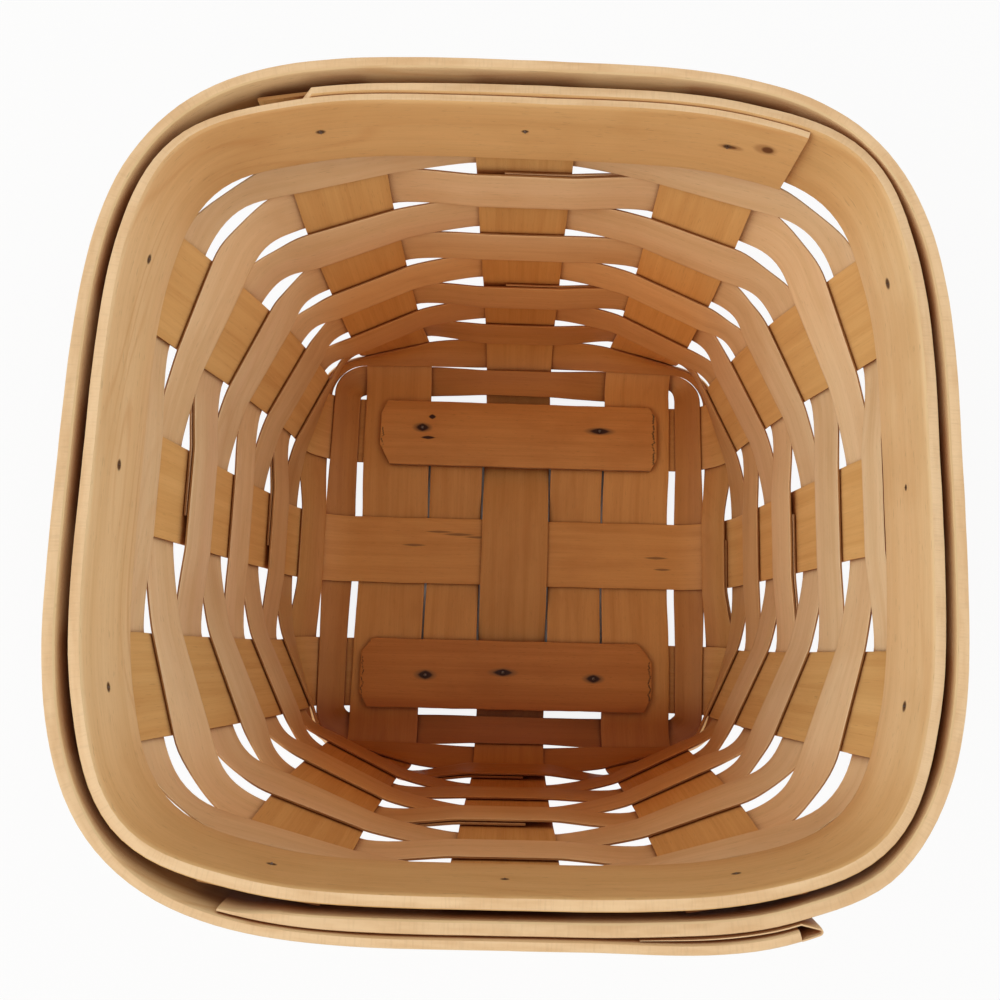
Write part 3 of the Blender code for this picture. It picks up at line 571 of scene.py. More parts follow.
UPRIGHT_PALE, UPRIGHT_DEEP = (0.71, 0.44, 0.17), (0.59, 0.325, 0.105)
WEAVER_PALE, WEAVER_DEEP = (0.76, 0.565, 0.335), (0.65, 0.44, 0.225)
BAND_TONES = ((0.76, 0.545, 0.295), (0.66, 0.435, 0.205))
SLAT_PALE, SLAT_DEEP = (0.66, 0.40, 0.155), (0.53, 0.285, 0.095)
EDGE_TONES = ((0.82, 0.575, 0.33), (0.71, 0.455, 0.235))
SPLINT_EDGE = ((0.52, 0.27, 0.095), (0.34, 0.15, 0.045))
STREAK_COLOUR = (0.33, 0.145, 0.045)
KNOT_HALO_COLOUR, KNOT_COLOUR = (0.46, 0.24, 0.09), (0.15, 0.055, 0.018)
TACK_MARK_COLOUR = (0.11, 0.055, 0.025)
SPLIT_HALO_COLOUR, SPLIT_COLOUR = (0.33, 0.135, 0.04), (0.040, 0.012, 0.006)


def two_woods(name, tones, seeds, edge_tones=SPLINT_EDGE, **looks):
    """The wood of a piece's faces and the wood of its edges, each from its pale and deep tone."""
    face = wood(name + "_wood", *tones, seeds[0], **looks)
    return [face, wood(name + "_edge_wood", *edge_tones, seeds[1], edge=True)]


# Uprights and fillers


def layer_height(place, levels):
    half = UPRIGHT_WIDTH / 2
    gap = UPRIGHT_SPREAD - UPRIGHT_WIDTH
    near, middle, far = levels
    side_level = far if place > 0 else near
    return middle + (side_level - middle) * smooth((abs(place) - half) / gap)


WALL_STEP, BASE_STEP = 0.0027, 0.0025
SPLINT_WOBBLE, SPLINT_WAVE = 0.00015, 0.06


def base_rows(side, along, size, levels, wobble_size, wobble_wave):
    """Points of a strip in the base, row by row along it, with its lift over and under the others."""
    width, reach = size
    rows = []
    for place in steps_between(-reach, reach, BASE_STEP):
        wobble = wobble_size * wave(*wobble_wave, place)
        row = [to_plan(side, along + width * (0.5 - share) + wobble, place, MIDDLE_Z) for share in ACROSS]
        for point in row:
            point.z = MIDDLE_Z + layer_height(place, levels) * PLY
        rows.append(row)
    return rows


def upright_grid(side, number, levels, seed):
    half = UPRIGHT_WIDTH / 2
    top = slant_at(HEIGHT - UPRIGHT_STOP)
    slants = steps_between(0, top, WALL_STEP)
    rows = []

    def across(middle, tangent, sign, place):
        wobble = SPLINT_WOBBLE * wave(seed, SPLINT_WAVE, place)
        return [middle + tangent * sign * (half * (2 * share - 1) + wobble) for share in ACROSS]

    for slant in reversed(slants[1:]):
        middle, tangent, outward = station(OPPOSITE[side], -number, slant)
        middle = middle - outward * levels[0] * PLY * (1 - smooth(slant / LEVEL_RUN))
        rows.append(across(middle, tangent, 1, -slant))
    size = (UPRIGHT_WIDTH, BASE_REACH)
    rows += base_rows(side, number * UPRIGHT_SPREAD, size, levels, SPLINT_WOBBLE, (seed, SPLINT_WAVE))
    for slant in slants[1:]:
        middle, tangent, outward = station(side, number, slant)
        middle = middle - outward * levels[2] * PLY * (1 - smooth(slant / LEVEL_RUN))
        rows.append(across(middle, tangent, -1, slant))
    return np.array([[tuple(p) for p in row] for row in rows])


UPRIGHTS = (
    ("upright_ns_west", "north", -1, 0.97),
    ("upright_ns_middle", "north", 0, 0.93),
    ("upright_ns_east", "north", 1, 1.02),
    ("upright_ew_north", "east", -1, 1.0),
    ("upright_ew_middle", "east", 0, 1.06),
    ("upright_ew_south", "east", 1, 0.95),
)
SPLINT_STREAKS = [
    ((-0.0290, 0.0060, 0.003), (0.0070, 0.0006, 0.003)),
    ((-0.0215, 0.0051, 0.003), (0.0080, 0.0007, 0.003)),
    ((-0.0140, 0.0042, 0.003), (0.0070, 0.0006, 0.003)),
    ((-0.0384, 0.0006, 0.003), (0.0060, 0.0007, 0.003)),
    ((0.0545, -0.0020, 0.003), (0.0060, 0.0007, 0.003)),
    ((0.0570, -0.0064, 0.003), (0.0045, 0.0006, 0.003)),
]


def make_uprights():
    for index, (name, side, number, shade) in enumerate(UPRIGHTS):
        over_edges = (1, -1, 1) if number else (-1, 1, -1)
        levels = over_edges if side == "north" else (0, 0, 0)
        grid = upright_grid(side, number, levels, 10 + index)
        half = strip_thickness(len(grid), UPRIGHT_THICKNESS, 100 + index)
        marks = ((STREAK_COLOUR, SPLINT_STREAKS, True),) if name == "upright_ew_middle" else ()
        tones = toned(UPRIGHT_PALE, shade), toned(UPRIGHT_DEEP, shade)
        woods = two_woods(name, tones, (10 + index, 30 + index), marks=marks)
        piece = sheet(name + "_splint", grid, half, half, woods, u_start=index * 0.7)
        settle(piece, name)


FILLER_WOBBLE, FILLER_WAVE = 0.00012, 0.05


def make_fillers():
    for index, (sign, name) in enumerate(((-1, "base_filler_west"), (1, "base_filler_east"))):
        along, size = sign * UPRIGHT_SPREAD / 2, (FILLER_WIDTH, FILLER_REACH)
        rows = base_rows("north", along, size, (1, -1, 1), FILLER_WOBBLE, (60 + index, FILLER_WAVE))
        grid = np.array([[tuple(p) for p in row] for row in rows])
        half = strip_thickness(len(grid), UPRIGHT_THICKNESS, 130 + index)
        tones = toned(UPRIGHT_PALE, 0.98), toned(UPRIGHT_DEEP, 0.97)
        woods = two_woods(name, tones, (60 + index, 64 + index))
        piece = sheet(name + "_splint", grid, half, half, woods)
        # The lower face is a little broader than the upper one.
        lower = grid.shape[0] * grid.shape[1]
        for first in range(lower, 2 * lower, grid.shape[1]):
            piece.data.vertices[first].co.x += FILLER_SPREAD
            piece.data.vertices[first + grid.shape[1] - 1].co.x -= FILLER_SPREAD
        settle(piece, name)


# Weavers


def lowest_slant(depth):
    cosine = (MIDDLE_Z + FOOT_RADIUS - GROUND_CLEARANCE) / (FOOT_RADIUS + depth)
    return FOOT_RADIUS * math.acos(min(cosine, 1.0))


def weaver_stops(row):
    inside = -((UPRIGHT_THICKNESS + WEAVER_THICKNESS) / 2 + CLEARANCE)
    outside = -inside
    layer = WEAVER_THICKNESS + CLEARANCE
    trim = lowest_slant(outside + layer + WEAVER_THICKNESS / 2)
    lap_side = ("east", "north", "west", "south")[(row - 1) % 4]
    lap = UPRIGHT_ORDER.index((lap_side, 0))
    stops = []
    for step in range(len(UPRIGHT_ORDER) + 2):
        place = (lap + step) % len(UPRIGHT_ORDER)
        shift = inside if (place + row) % 2 else outside
        start_share = -0.5
        if step == 0:
            start_share = -0.2
        elif step == 1:
            shift = outside + layer
        elif step == len(UPRIGHT_ORDER):
            shift = inside - layer
        stops.append((UPRIGHT_ORDER[place], shift, start_share, trim if step < 2 else 0.0))
    return stops


SPAN_STEPS, CORNER_STEPS = 9, 14


def span(start, end, steps, pull_share):
    (here, here_way, here_out, here_shift), (there, there_way, there_out, there_shift) = start, end
    reach = pull_share * (there - here).length / math.cos(here_way.angle(there_way, 0.0) / 4) ** 2
    points = []
    for step in range(1, steps):
        t = step / steps
        bend = here_way * (t * (1 - t) ** 2) - there_way * (t**2 * (1 - t))
        place = here.lerp(there, smooth(t)) + bend * reach
        shift = here_shift + (there_shift - here_shift) * smooth(t)
        points.append(place + here_out.lerp(there_out, smooth(t)).normalized() * shift)
    return points


def weaver_grid(row):
    columns = []
    for share in ACROSS:
        rail = []
        for (side, number), shift, start_share, lowest in weaver_stops(row):
            low, high = row_slants(row, number)
            bottom = max(low, lowest)
            middle, tangent, outward = station(side, number, bottom + (high - bottom) * share)
            start = middle + tangent * (UPRIGHT_WIDTH * start_share)
            end = middle + tangent * (UPRIGHT_WIDTH / 2)
            if rail:
                straight = side == last_side
                steps = SPAN_STEPS if straight else CORNER_STEPS
                pull_share = SPAN_PULL_SHARE if straight else CORNER_PULL_SHARE
                rail += span(leaving, (start, tangent, outward, shift), steps, pull_share)
            rail += [start + (end - start) * step / 4 + outward * shift for step in range(5)]
            leaving, last_side = (end, tangent, outward, shift), side
        columns.append([tuple(point) for point in rail])
    return np.array(columns).transpose(1, 0, 2)


def corner_shares(row):
    """For each place along a row, how near it is to the middle of a corner: 1 there and 0 off it."""
    shares, last_side = [], None
    for (side, _), _, _, _ in weaver_stops(row):
        if last_side:
            straight = side == last_side
            steps = SPAN_STEPS if straight else CORNER_STEPS
            waves = [math.sin(math.pi * step / steps) ** 2 for step in range(1, steps)]
            shares += [0.0] * (steps - 1) if straight else waves
        shares += [0.0] * 5
        last_side = side
    return shares


ROW_WOBBLE = 0.00014
WAIST_FALL, TOP_WAIST_SHARE = 1.10, 1.4


def weaver_wobble(grid, row):
    """Small unevenness of a strip's edges, within the gap to its neighbours, and its waist at the corners."""
    up = grid[:, -1] - grid[:, 0]
    up /= np.linalg.norm(up, axis=1, keepdims=True)
    waist = CORNER_WAIST * (1 - WAIST_FALL * smooth((row - 5) / 4))
    for i, corner in enumerate(corner_shares(row)):
        low = ROW_WOBBLE * wave(200 + row, 0.5, i / 60) + waist * corner
        top_waist = waist * (TOP_WAIST_SHARE if row == 1 else 1.0)
        high = ROW_WOBBLE * wave(260 + row, 0.5, i / 60) - top_waist * corner
        for j, share in enumerate(ACROSS):
            grid[i, j] += up[i] * (low * (1 - share) + high * share)
    return grid


LOW_DEEP = (0.50, 0.25, 0.075)
WEAVER_SHADES = (1.0, 1.05, 1.0, 0.98, 1.04, 0.97, 1.02, 0.96, 1.0, 0.94)
WEAVER_BLUSH_COLOUR = (0.70, 0.44, 0.27)
WEAVER_BLUSH = (0.35, 0.15, 0.45, 0.25, 0.30, 0.40, 0.50, 0.35, 0.45, 0.20)


def make_weavers():
    for row in range(1, ROWS + 1):
        name = f"weaver_row_{row:02d}"
        grid = weaver_wobble(weaver_grid(row), row)
        half = strip_thickness(len(grid), WEAVER_THICKNESS, 300 + 10 * row)
        # Lower rows take deeper, darker tones and less blush: painted shade towards the foot.
        low = smooth((row - 4) / 6)
        tones = []
        for high_tone, low_tone in ((WEAVER_PALE, UPRIGHT_DEEP), (WEAVER_DEEP, LOW_DEEP)):
            tone = tuple(a + (b - a) * low for a, b in zip(high_tone, low_tone))
            tones.append(toned(tone, WEAVER_SHADES[row - 1]))
        blush = (WEAVER_BLUSH[row - 1] * (1 - low), WEAVER_BLUSH_COLOUR)
        woods = two_woods(name, tones, (80 + row, 95 + row), blush=blush)
        piece = sheet(name + "_splint", grid, half, half, woods, u_start=row * 0.9)
        settle(piece, name)


# Rim bands


def band_point(angle, half_x, half_y, power, offset, height, middle):
    cosine, sine = math.cos(angle), math.sin(angle)
    radius = (abs(cosine) ** power + abs(sine) ** power) ** (-1 / power)
    x, y = radius * cosine, radius * sine
    normal_x = math.copysign(abs(x) ** (power - 1), x) / half_x
    normal_y = math.copysign(abs(y) ** (power - 1), y) / half_y
    length = math.hypot(normal_x, normal_y)
    sunk = offset - (HEIGHT - height) * math.tan(WALL_LEAN)
    return (
        half_x * x + normal_x / length * sunk + middle.x,
        half_y * y + normal_y / length * sunk + middle.y,
        height,
    )


def angle_at_x(x, half, sign):
    y = (1 - (abs(x) / half) ** OUTLINE_SQUARENESS) ** (1 / OUTLINE_SQUARENESS)
    return math.atan2(sign * y, x / half)


BAND_LOW_WOBBLE, BAND_TOP_WOBBLE = 0.00012, 0.00008
BAND_STEP = math.radians(1.6)


def band_grid(sections, half_x, half_y, power, middle, seed):
    """Rows along the band, from its low edge to its top: the outer face."""
    top = HEIGHT - BAND_THICKNESS * math.sin(WALL_LEAN)
    rows = []
    for index, (angle, offset, cut) in enumerate(sections):
        low = HEIGHT - BAND_HEIGHT + cut + BAND_LOW_WOBBLE * (1 + wave(seed, 0.6, index / 40))
        high = top - cut - BAND_TOP_WOBBLE * (1 + wave(seed + 1, 0.4, index / 40))
        heights = [low + (high - low) * share for share in ACROSS]
        rows.append([band_point(angle, half_x, half_y, power, offset, height, middle) for height in heights])
    return np.array(rows)


BAND_EDGE_OUT = np.array([0.00040, 0.00010, 0.0, 0.0, 0.0, 0.0, 0.0, 0.00010, 0.00036])
TOP_FULLNESS = np.array([0.0, 0.0, 0.0, 0.0, 0.0, 0.0, 1.0, 1.0, 0.9])
INNER_SWELL, OUTER_SWELL = 0.0006, 0.0007
INNER_SWELL_RUN, OUTER_SWELL_RUN, OUTER_SWELL_STOP = 0.5, 0.3, 0.4


def band_halves(shares, swells_out, swells_in):
    """How far each face lies from the outer face, which carries the grid, section by section.

    The swells make the top edge a little fuller outwards or inwards.
    """
    thick = BAND_THICKNESS * np.array(shares)[:, None]
    rounding = np.minimum(BAND_EDGE_OUT, thick / 4)
    outer = np.outer(swells_out, TOP_FULLNESS) - rounding
    return outer, thick - rounding + np.outer(swells_in, TOP_FULLNESS)


MARK_LENGTH, MARK_DEPTH, MARK_HEIGHT = 0.0016, 0.0014, 0.0007


def tack_marks():
    """Soft-edged places of small splits along the grain, where the rim tacks come through."""
    spots = []
    for name in sorted(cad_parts):
        if name.startswith("rim_tack"):
            centre, way, point, _ = node_axis(name)
            size = 0.55 + 0.55 * RNG.random()
            plan = (MARK_LENGTH * size, MARK_DEPTH)
            across_x = "north" in name or "south" in name
            radii = (*(plan if across_x else plan[::-1]), MARK_HEIGHT * size)
            spots.append((tuple(centre + way * point), radii))
    return spots


KNOTS = [
    ((0.0489, 0.083, 0.1072), (0.0020, 0.004, 0.0005)),
    ((0.0570, 0.081, 0.1086), (0.0018, 0.005, 0.0010)),
]
KNOT_HALOS = [
    ((0.0489, 0.083, 0.1072), (0.0038, 0.006, 0.0009)),
    ((0.0566, 0.082, 0.1086), (0.0036, 0.006, 0.0016)),
]


def make_inner_band():
    name = "rim_band_inner"
    layer = BAND_THICKNESS + CLEARANCE / 10
    seat = UPRIGHT_THICKNESS / 2 + BAND_SEAT
    half_x, half_y = RIM_REACH_X - seat, RIM_REACH_Y - seat
    start, end = INNER_START, INNER_END - 2 * math.pi
    step_in_from, step_in_to = start - 2 * math.pi + INNER_STEP_FROM, start - 2 * math.pi + INNER_STEP_TO
    sections, swells = [(start, 0.0, INNER_CLIP)], [0.0]
    for angle in steps_between(start - INNER_CLIP / RIM_REACH_Y, end, BAND_STEP):
        inwards = smooth((angle - step_in_from) / (step_in_to - step_in_from))
        from_corner = angle % (math.pi / 2) - math.pi / 4
        outwards = CORNER_FILL * smooth(1 - abs(from_corner) / CORNER_SPREAD)
        sections.append((angle, outwards - layer * inwards, 0.0))
        swells.append(INNER_SWELL * (1 - inwards) * smooth((start - angle) / INNER_SWELL_RUN))
    grid = band_grid(sections, half_x, half_y, RIM_SQUARENESS, middle_at(HEIGHT - BAND_HEIGHT / 2), 400)
    out, back = band_halves([1.0] * len(sections), swells, [0.0] * len(sections))
    # The ends entry is painted shade on the north and south sides of the band.
    looks = {"blush": (0.3, (0.70, 0.42, 0.20)), "contrast": 1.1, "figure": 0.42, "ends": (0.93, 0.80, 0.62)}
    looks["marks"] = (
        (KNOT_HALO_COLOUR, KNOT_HALOS, False),
        (KNOT_COLOUR, KNOTS, False),
        (TACK_MARK_COLOUR, tack_marks(), False),
    )
    woods = two_woods(name, BAND_TONES, (401, 402), EDGE_TONES, **looks)
    # The band runs clockwise, so its rows are turned over to keep the faces pointing outwards.
    piece = sheet(name + "_band", grid[::-1], out[::-1], back[::-1], woods)
    settle(piece, name)


def hidden_offset(angle, flap_end, shoulder):
    tucked = BAND_THICKNESS + CLEARANCE
    if angle < shoulder:
        return (tucked - LAP_DEPTH) * smooth((angle - flap_end) / (shoulder - flap_end)) - tucked
    return LAP_DEPTH * (smooth((angle - shoulder) / (-math.pi / 4 - shoulder)) - 1)


TAIL_SHARES, TAIL_TURN, TAIL_STEPS, FLAP_STEPS = (0.02, 0.3, 0.6, 1.0), math.pi * 3 / 4, 6, 12


def make_outer_band():
    name = "rim_band_outer"
    half = RIM_HALF
    full = BAND_THICKNESS + TAIL_GAP - LAP_DEPTH
    shoulder, flap_end, split = (angle_at_x(x, half, -1) for x in (OUTER_END_X, FLAP_END_X, SPLIT_X))
    lift_from = split + 2 * math.pi
    path = []
    for angle in steps_between(OUTER_START, shoulder + 2 * math.pi, BAND_STEP):
        if angle < math.pi:
            offset = hidden_offset(angle, flap_end, shoulder)
        else:
            offset = full * smooth((angle - lift_from) / (shoulder - split))
        skive = smooth((angle - OUTER_START) * half / OUTER_SKIVE_LENGTH)
        path.append((angle, offset, OUTER_SKIVE_SHARE + (1 - OUTER_SKIVE_SHARE) * skive))
    thin = SKIN_THICKNESS / BAND_THICKNESS
    turn_at = angle_at_x(OUTER_END_X + TAIL_LENGTH - TAIL_RADIUS, half, -1)
    path += [(shoulder + (turn_at - shoulder) * share, full, thin) for share in TAIL_SHARES]
    for step in range(1, TAIL_STEPS + 1):
        turn = TAIL_TURN * step / TAIL_STEPS
        ahead, drop = TAIL_RADIUS * math.sin(turn), TAIL_RADIUS * (1 - math.cos(turn))
        path.append((turn_at + ahead / half, full - drop, thin))
    flap_start = shoulder + TAIL_RADIUS / half
    for step in range(FLAP_STEPS + 1):
        share = step / FLAP_STEPS
        angle = flap_start + (flap_end - flap_start) * share
        offset = hidden_offset(angle, flap_end, shoulder) + CLEARANCE
        path.append((angle, offset, thin + (FLAP_TIP_SHARE - thin) * share))
    sections = [(angle, offset, 0.0) for angle, offset, _ in path]
    grid = band_grid(sections, half, half, OUTLINE_SQUARENESS, Vector(), 420)
    over_lap = OUTER_START + 2 * math.pi
    swells = []
    for angle, _, _ in path:
        begun = smooth((angle - OUTER_START) / OUTER_SWELL_RUN)
        ended = smooth((angle - over_lap + OUTER_SWELL_STOP) / OUTER_SWELL_RUN)
        swells.append(OUTER_SWELL * (begun * (1 - ended)))
    turned_back = next(i for i, (_, offset, share) in enumerate(path) if share == thin)
    swells[turned_back:] = [0.0] * (len(path) - turned_back)
    out, back = band_halves([share for _, _, share in path], [0.0] * len(path), swells)
    # The inner entry is painted shade on the band's inside face, in the gap between the bands.
    looks = {"blush": (0.25, (0.70, 0.44, 0.23)), "figure": 0.35, "inner": (0.40, 0.27, 0.165)}
    woods = two_woods(name, BAND_TONES, (421, 422), EDGE_TONES, **looks)
    piece = sheet(name + "_band", grid, out, back, woods)
    settle(piece, name)


# Slats


# Each nail's x, its slat's side, its place across the slat as a share, and the half size of its split
NAILS = {
    "slat_nail_north_west": (-0.0366, 1, 0.08, 0.0030, 0.0019),
    "slat_nail_north_east": (0.0318, 1, 0.10, 0.0047, 0.0015),
    "slat_nail_south_west": (-0.0316, -1, -0.02, 0.0034, 0.0020),
    "slat_nail_south_middle": (-0.0030, -1, 0.04, 0.0044, 0.0016),
    "slat_nail_south_east": (0.0306, -1, -0.02, 0.0033, 0.0018),
}
# Dark broken lines just inside each slat's ends, an east and a west line: distance from the slat's end, shift
# and reach as shares of its width, width
SLAT_END_LINES = {
    "slat_north": ((0.0013, 0.0, 0.42, 0.00030), (0.0009, -0.16, 0.24, 0.00020)),
    "slat_south": ((0.0010, -0.04, 0.30, 0.00024), (0.0009, -0.06, 0.30, 0.00018)),
}
NORTH_SLAT_FLECKS = ((-0.0330, 0.0503, 0.0017, 0.0012), (-0.0343, 0.0420, 0.0034, 0.0008))
SLAT_BOTTOM = MIDDLE_Z + PLY + UPRIGHT_THICKNESS / 2 + CLEARANCE
SLAT_TOP = SLAT_BOTTOM + SLAT_THICKNESS
SLAT_STEP, SLAT_WOBBLE, SLAT_WAVE, SLAT_BEVEL = 0.004, 0.0001, 0.02, 0.00035


def nail_place(name):
    x, side, share, _, _ = NAILS[name]
    middle = NORTH_SLAT_Y if side > 0 else SOUTH_SLAT_Y
    return Vector((x, middle + share * SLAT_WIDTH, SLAT_TOP))


def make_slat(name, ends, middle, shares, seed, shade, warm):
    west, east = ends
    south, north = middle - SLAT_WIDTH / 2, middle + SLAT_WIDTH / 2
    corners = ((west, south, 1, 1), (east, south, -1, 1), (east, north, -1, -1), (west, north, 1, -1))
    points = []
    for (x, y, inward_x, inward_y), (along, across) in zip(corners, shares):
        on_end = (x, y + inward_y * across * SLAT_WIDTH)
        on_side = (x + inward_x * along * SLAT_WIDTH, y)
        points += [on_end, on_side] if inward_x == inward_y else [on_side, on_end]
    shape = bmesh.new()
    ring = []
    for (x0, y0), (x1, y1) in zip(points, points[1:] + points[:1]):
        count = max(1, round(math.hypot(x1 - x0, y1 - y0) / SLAT_STEP))
        for step in range(count):
            share = step / count
            x, y = x0 + (x1 - x0) * share, y0 + (y1 - y0) * share
            wobble = SLAT_WOBBLE * wave(seed, SLAT_WAVE, x + 3 * y)
            ring.append(shape.verts.new((x + wobble, y - wobble, SLAT_BOTTOM)))
    face = shape.faces.new(ring)
    grown = bmesh.ops.extrude_face_region(shape, geom=[face])
    for vertex in grown["geom"]:
        if isinstance(vertex, bmesh.types.BMVert):
            vertex.co.z = SLAT_TOP
    bmesh.ops.recalc_face_normals(shape, faces=shape.faces)
    rims = [edge for edge in shape.edges if abs(edge.verts[0].co.z - edge.verts[1].co.z) < CLEARANCE / 10]
    bmesh.ops.bevel(shape, geom=rims, offset=SLAT_BEVEL, segments=3, profile=0.6, affect="EDGES")
    layer = shape.loops.layers.uv.new("UVMap")
    for made in shape.faces:
        flat = abs(made.normal.z) > 0.7
        made.material_index = 0 if flat else 1
        made.smooth = True
        for loop in made.loops:
            co = loop.vert.co
            loop[layer].uv = (co.x, co.y) if flat else (co.x + co.y, co.z)
    mesh = bpy.data.meshes.new(name + "_board")
    shape.to_mesh(mesh)
    shape.free()
    mesh.set_sharp_from_angle(angle=math.radians(40))
    splits, halos, lines = [], [], []
    for nail in NAILS:
        spot = nail_place(nail)
        if abs(spot.y - middle) < SLAT_WIDTH / 2:
            long_by, wide_by = NAILS[nail][3:]
            splits.append(((spot.x, spot.y, SLAT_TOP), (long_by, wide_by, 0.002)))
            halos.append(((spot.x, spot.y, SLAT_TOP), (long_by * 1.5, wide_by * 1.2, 0.003)))
    if middle > 0:
        for x, y, wide, high in NORTH_SLAT_FLECKS:
            splits.append(((x, y, SLAT_TOP), (wide, high, 0.002)))
    for x, inward, (inset, shift, reach, wide) in zip((east, west), (-1, 1), SLAT_END_LINES[name]):
        lines.append((x + inward * inset, middle + SLAT_WIDTH * shift, SLAT_WIDTH * reach, wide))
    marks = ((SPLIT_HALO_COLOUR, halos, False), (SPLIT_COLOUR, splits, True))
    tones = toned(SLAT_PALE, shade, warm), toned(SLAT_DEEP, shade, warm)
    edge_tones = toned(EDGE_TONES[0], 0.62), toned(EDGE_TONES[1], 0.55)
    looks = {"contrast": 1.25, "marks": marks, "end_lines": lines}
    for material in two_woods(name, tones, (seed, seed + 1), edge_tones, **looks):
        mesh.materials.append(material)
    piece = add_object(name + "_board", mesh)
    settle(piece, name)


# Tacks and nails


PIN_SIDES = 24
PIN_SHANK, PIN_UNEVEN = 0.0005, 0.03
NAIL_HEAD, NAIL_RISE = 0.0006, 0.0004
TACK_HEAD, TACK_RISE = 0.0017, 0.0006
HEAD_PROFILE = ((0.15, 0.0), (0.5, 0.10), (0.8, 0.35), (1.0, 0.8), (0.96, 1.0))


def turned(name, shape, material, matrix):
    """A turned pin from (radius, height) pairs, top first, with a slightly uneven head."""
    sides = PIN_SIDES
    points, faces, uvs = [], [], []
    for level, (radius, height) in enumerate(shape):
        for side in range(sides):
            angle = 2 * math.pi * side / sides
            broad = radius * (1 + PIN_UNEVEN * math.sin(3 * angle + level))
            points.append(matrix @ Vector((broad * math.cos(angle), broad * math.sin(angle), height)))
    for level in range(len(shape) - 1):
        for side in range(sides):
            a, b = level * sides + side, level * sides + (side + 1) % sides
            faces.append((a, a + sides, b + sides, b))
            near, far = side / sides, (side + 1) / sides
            uvs += [(near, level), (near, level + 1), (far, level + 1), (far, level)]
    top = tuple(range(sides))
    bottom = tuple(range((len(shape) - 1) * sides, len(shape) * sides))[::-1]
    for cap in (top, bottom):
        faces.append(cap)
        uvs += [(0.5, 0.5)] * sides
    return mesh_from(name, points, faces, uvs, [0] * len(faces), [material])


def node_axis(name):
    """Head and point of a CAD tack: the farthest points from each other along its length."""
    points = np.array([tuple(v.co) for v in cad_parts[name].data.vertices])
    centre = points.mean(0)
    _, _, axes = np.linalg.svd(points - centre)
    places = (points - centre) @ axes[0]
    spread = np.linalg.norm((points - centre) - np.outer(places, axes[0]), axis=1)
    way = axes[0] if places[spread.argmax()] > 0 else -axes[0]
    places = (points - centre) @ way
    return Vector(centre), Vector(way), float(places.min()), float(places.max())


def make_tacks():
    metals = [steel(f"tack_steel_{index}", STEEL_COLOUR, index * 5.0) for index in range(3)]
    tacks = [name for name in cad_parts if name.startswith("rim_tack")] + list(NAILS)
    for index, name in enumerate(sorted(tacks)):
        centre, way, low, high = node_axis(name)
        matrix = Matrix.Translation(centre) @ way.to_track_quat("Z", "Y").to_matrix().to_4x4()
        head, rise_of = (NAIL_HEAD, NAIL_RISE) if name.startswith("slat") else (TACK_HEAD, TACK_RISE)
        shape = [(head * broad, high - rise_of * down) for broad, down in HEAD_PROFILE]
        shape += [(PIN_SHANK, high - rise_of * 1.1), (PIN_SHANK, low + PIN_SHANK * 1.5)]
        shape.append((PIN_SHANK * 0.25, low))
        piece = turned(name + "_pin", shape, metals[index % 3], matrix)
        settle(piece, name)


# Floor, light and camera


WHITE = (1.0, 1.0, 1.0)
FLOOR_HALF = 3.0
FLOOR_DROP = 0.0002
FLOOR_GREY, FLOOR_GLOW = 0.82, 0.88
FOOT_EDGE = (0.049, 0.055)


def make_stage():
    """A white floor that glows where it is looked at, but not beneath the foot, and keeps some shadow."""
    mesh = bpy.data.meshes.new("floor")
    turns = ((-1, -1), (1, -1), (1, 1), (-1, 1))
    mesh.from_pydata([(x * FLOOR_HALF, y * FLOOR_HALF, 0) for x, y in turns], [], [(0, 1, 2, 3)])
    floor = add_object("floor", mesh)
    floor.location.z = -FLOOR_DROP
    material, tree, shader = new_material("floor_white")
    grey = (FLOOR_GREY, FLOOR_GREY, FLOOR_GREY, 1)
    fill(tree, shader, {"Base Color": grey, "Roughness": 0.8, "Specular IOR Level": 0.1})
    glow = add_node(tree, "Emission", {"Color": (*WHITE, 1), "Strength": 1.0})
    path = tree.nodes.new("ShaderNodeLightPath")
    seen = sums(tree, "MAXIMUM", path.outputs["Is Camera Ray"], path.outputs["Is Glossy Ray"])
    seen = sums(tree, "MAXIMUM", seen, path.outputs["Is Transmission Ray"])
    x, y, _ = position(tree)
    from_middle = sums(tree, "MAXIMUM", size_of(tree, x), size_of(tree, y))
    open_floor = graded(tree, from_middle, *FOOT_EDGE)
    share = times(tree, times(tree, seen, FLOOR_GLOW), open_floor)
    mix = add_node(tree, "MixShader", {0: share, 1: shader.outputs[0], 2: glow.outputs[0]})
    tree.links.new(mix.outputs[0], tree.nodes["Material Output"].inputs["Surface"])
    mesh.materials.append(material)


KEY_PLACE, KEY_AIM, KEY_POWER, KEY_SIZE = (-0.9, -0.5, 0.85), (0, 0.02, 0.06), 3.0, 0.8
KEY_COLOUR, ROOM_COLOUR = (1.0, 0.97, 0.92), (1.0, 0.985, 0.96)
SIDE_GLOW, SOUTH_GLOW, NORTH_GLOW = 2.30, 0.88, 0.46
HORIZON_SHARE, HORIZON_TO, ZENITH_SHARE, ZENITH_FROM, ZENITH_TO = 0.45, 0.30, 0.45, 0.66, 0.94


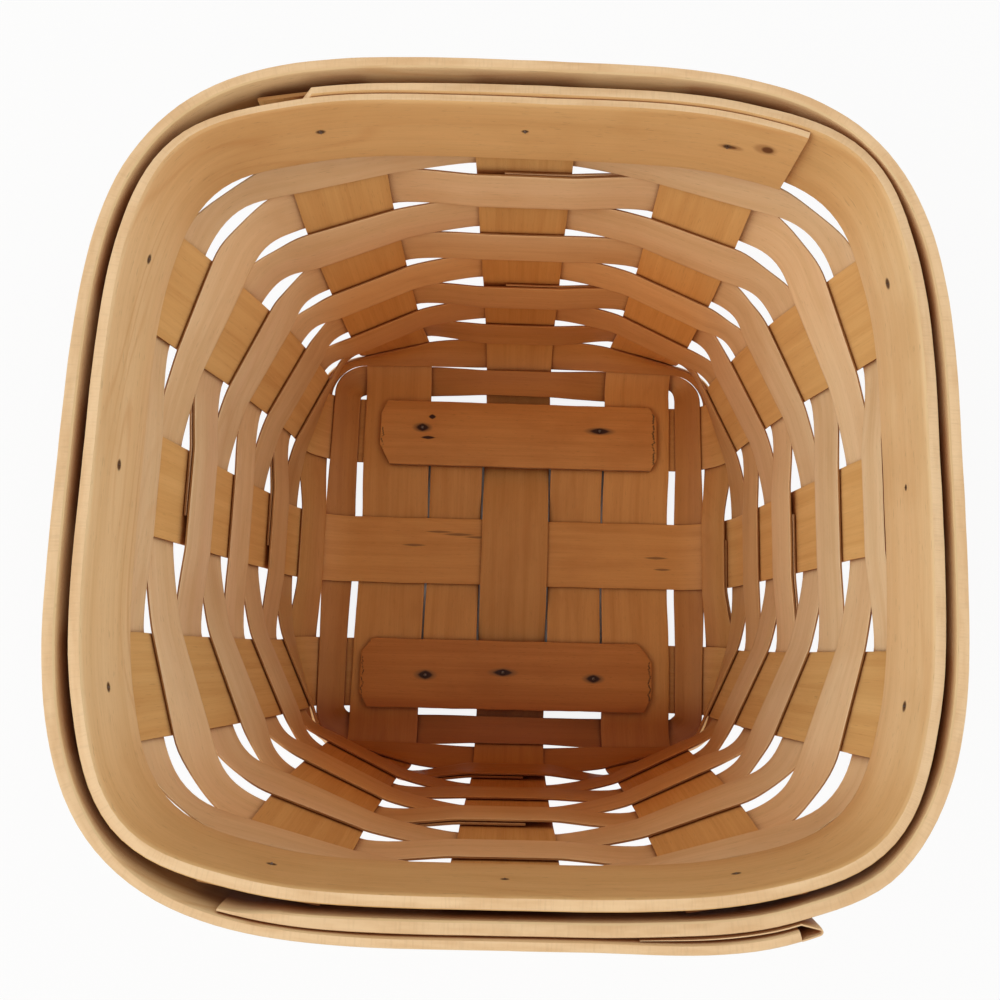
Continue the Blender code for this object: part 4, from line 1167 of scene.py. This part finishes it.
def make_lights():
    """A soft room: brighter to the left and right, dimmer overhead, where the camera is held."""
    world = bpy.data.worlds.new("studio")
    bpy.context.scene.world = world
    world.use_nodes = True
    tree = world.node_tree
    background = tree.nodes["Background"]
    seen = tree.nodes.new("ShaderNodeLightPath").outputs["Is Camera Ray"]
    tree.links.new(mixed(tree, seen, ROOM_COLOUR, WHITE), background.inputs["Color"])
    x, y, z = position(tree, "Generated")
    ends = times(tree, y, (NORTH_GLOW - SOUTH_GLOW) / 2)
    mean_glow = (NORTH_GLOW + SOUTH_GLOW) / 2
    ends = plus(tree, ends, mean_glow)
    sides = times(tree, times(tree, x, x), SIDE_GLOW - mean_glow)
    level = graded(tree, z, 0.0, HORIZON_TO, HORIZON_SHARE, 1.0)
    level = times(tree, level, graded(tree, z, ZENITH_FROM, ZENITH_TO, 1.0, ZENITH_SHARE))
    glow = times(tree, plus(tree, ends, sides), level)
    unseen_glow = times(tree, glow, sums(tree, "SUBTRACT", 1.0, seen))
    tree.links.new(plus(tree, unseen_glow, seen), background.inputs["Strength"])
    light = bpy.data.lights.new("key", "AREA")
    light.shape = "DISK"
    light.size = KEY_SIZE
    light.energy = KEY_POWER
    light.color = KEY_COLOUR
    lamp = add_object("key", light)
    lamp.location = KEY_PLACE
    lamp.rotation_euler = (Vector(KEY_AIM) - Vector(KEY_PLACE)).to_track_quat("-Z", "Y").to_euler()


CAMERA_PLACE, CAMERA_TURN = (0.0007, -0.0365, 0.2455), (0.110, -0.015, 0.026)
SENSOR_WIDTH, LENS, SHIFT_X, SHIFT_Y, CLIP_START = 36.0, 23.04, -0.0241, 0.0743, 0.01


def make_camera():
    """The camera that was fitted to the photograph, turned about CAMERA_TURN by its length."""
    data = bpy.data.cameras.new("camera")
    data.sensor_width = SENSOR_WIDTH
    data.sensor_fit = "HORIZONTAL"
    data.lens = LENS
    data.shift_x = SHIFT_X
    data.shift_y = SHIFT_Y
    data.clip_start = CLIP_START
    camera = add_object("camera", data)
    turn = Vector(CAMERA_TURN)
    turned_by = Matrix.Rotation(turn.length, 4, turn.normalized())
    camera.matrix_world = Matrix.Translation(CAMERA_PLACE) @ turned_by
    bpy.context.scene.camera = camera


make_uprights()
make_fillers()
make_weavers()
make_inner_band()
make_outer_band()
# The south slat is darker and warmer than the north one: painted shade.
make_slat("slat_north", NORTH_SLAT_ENDS, NORTH_SLAT_Y, NORTH_CUT_SHARES, 500, 1.05, 0.04)
make_slat("slat_south", SOUTH_SLAT_ENDS, SOUTH_SLAT_Y, SOUTH_CUT_SHARES, 510, 0.93, 0.36)
make_tacks()
make_stage()
make_lights()
make_camera()
bpy.context.scene.view_settings.view_transform = "Standard"
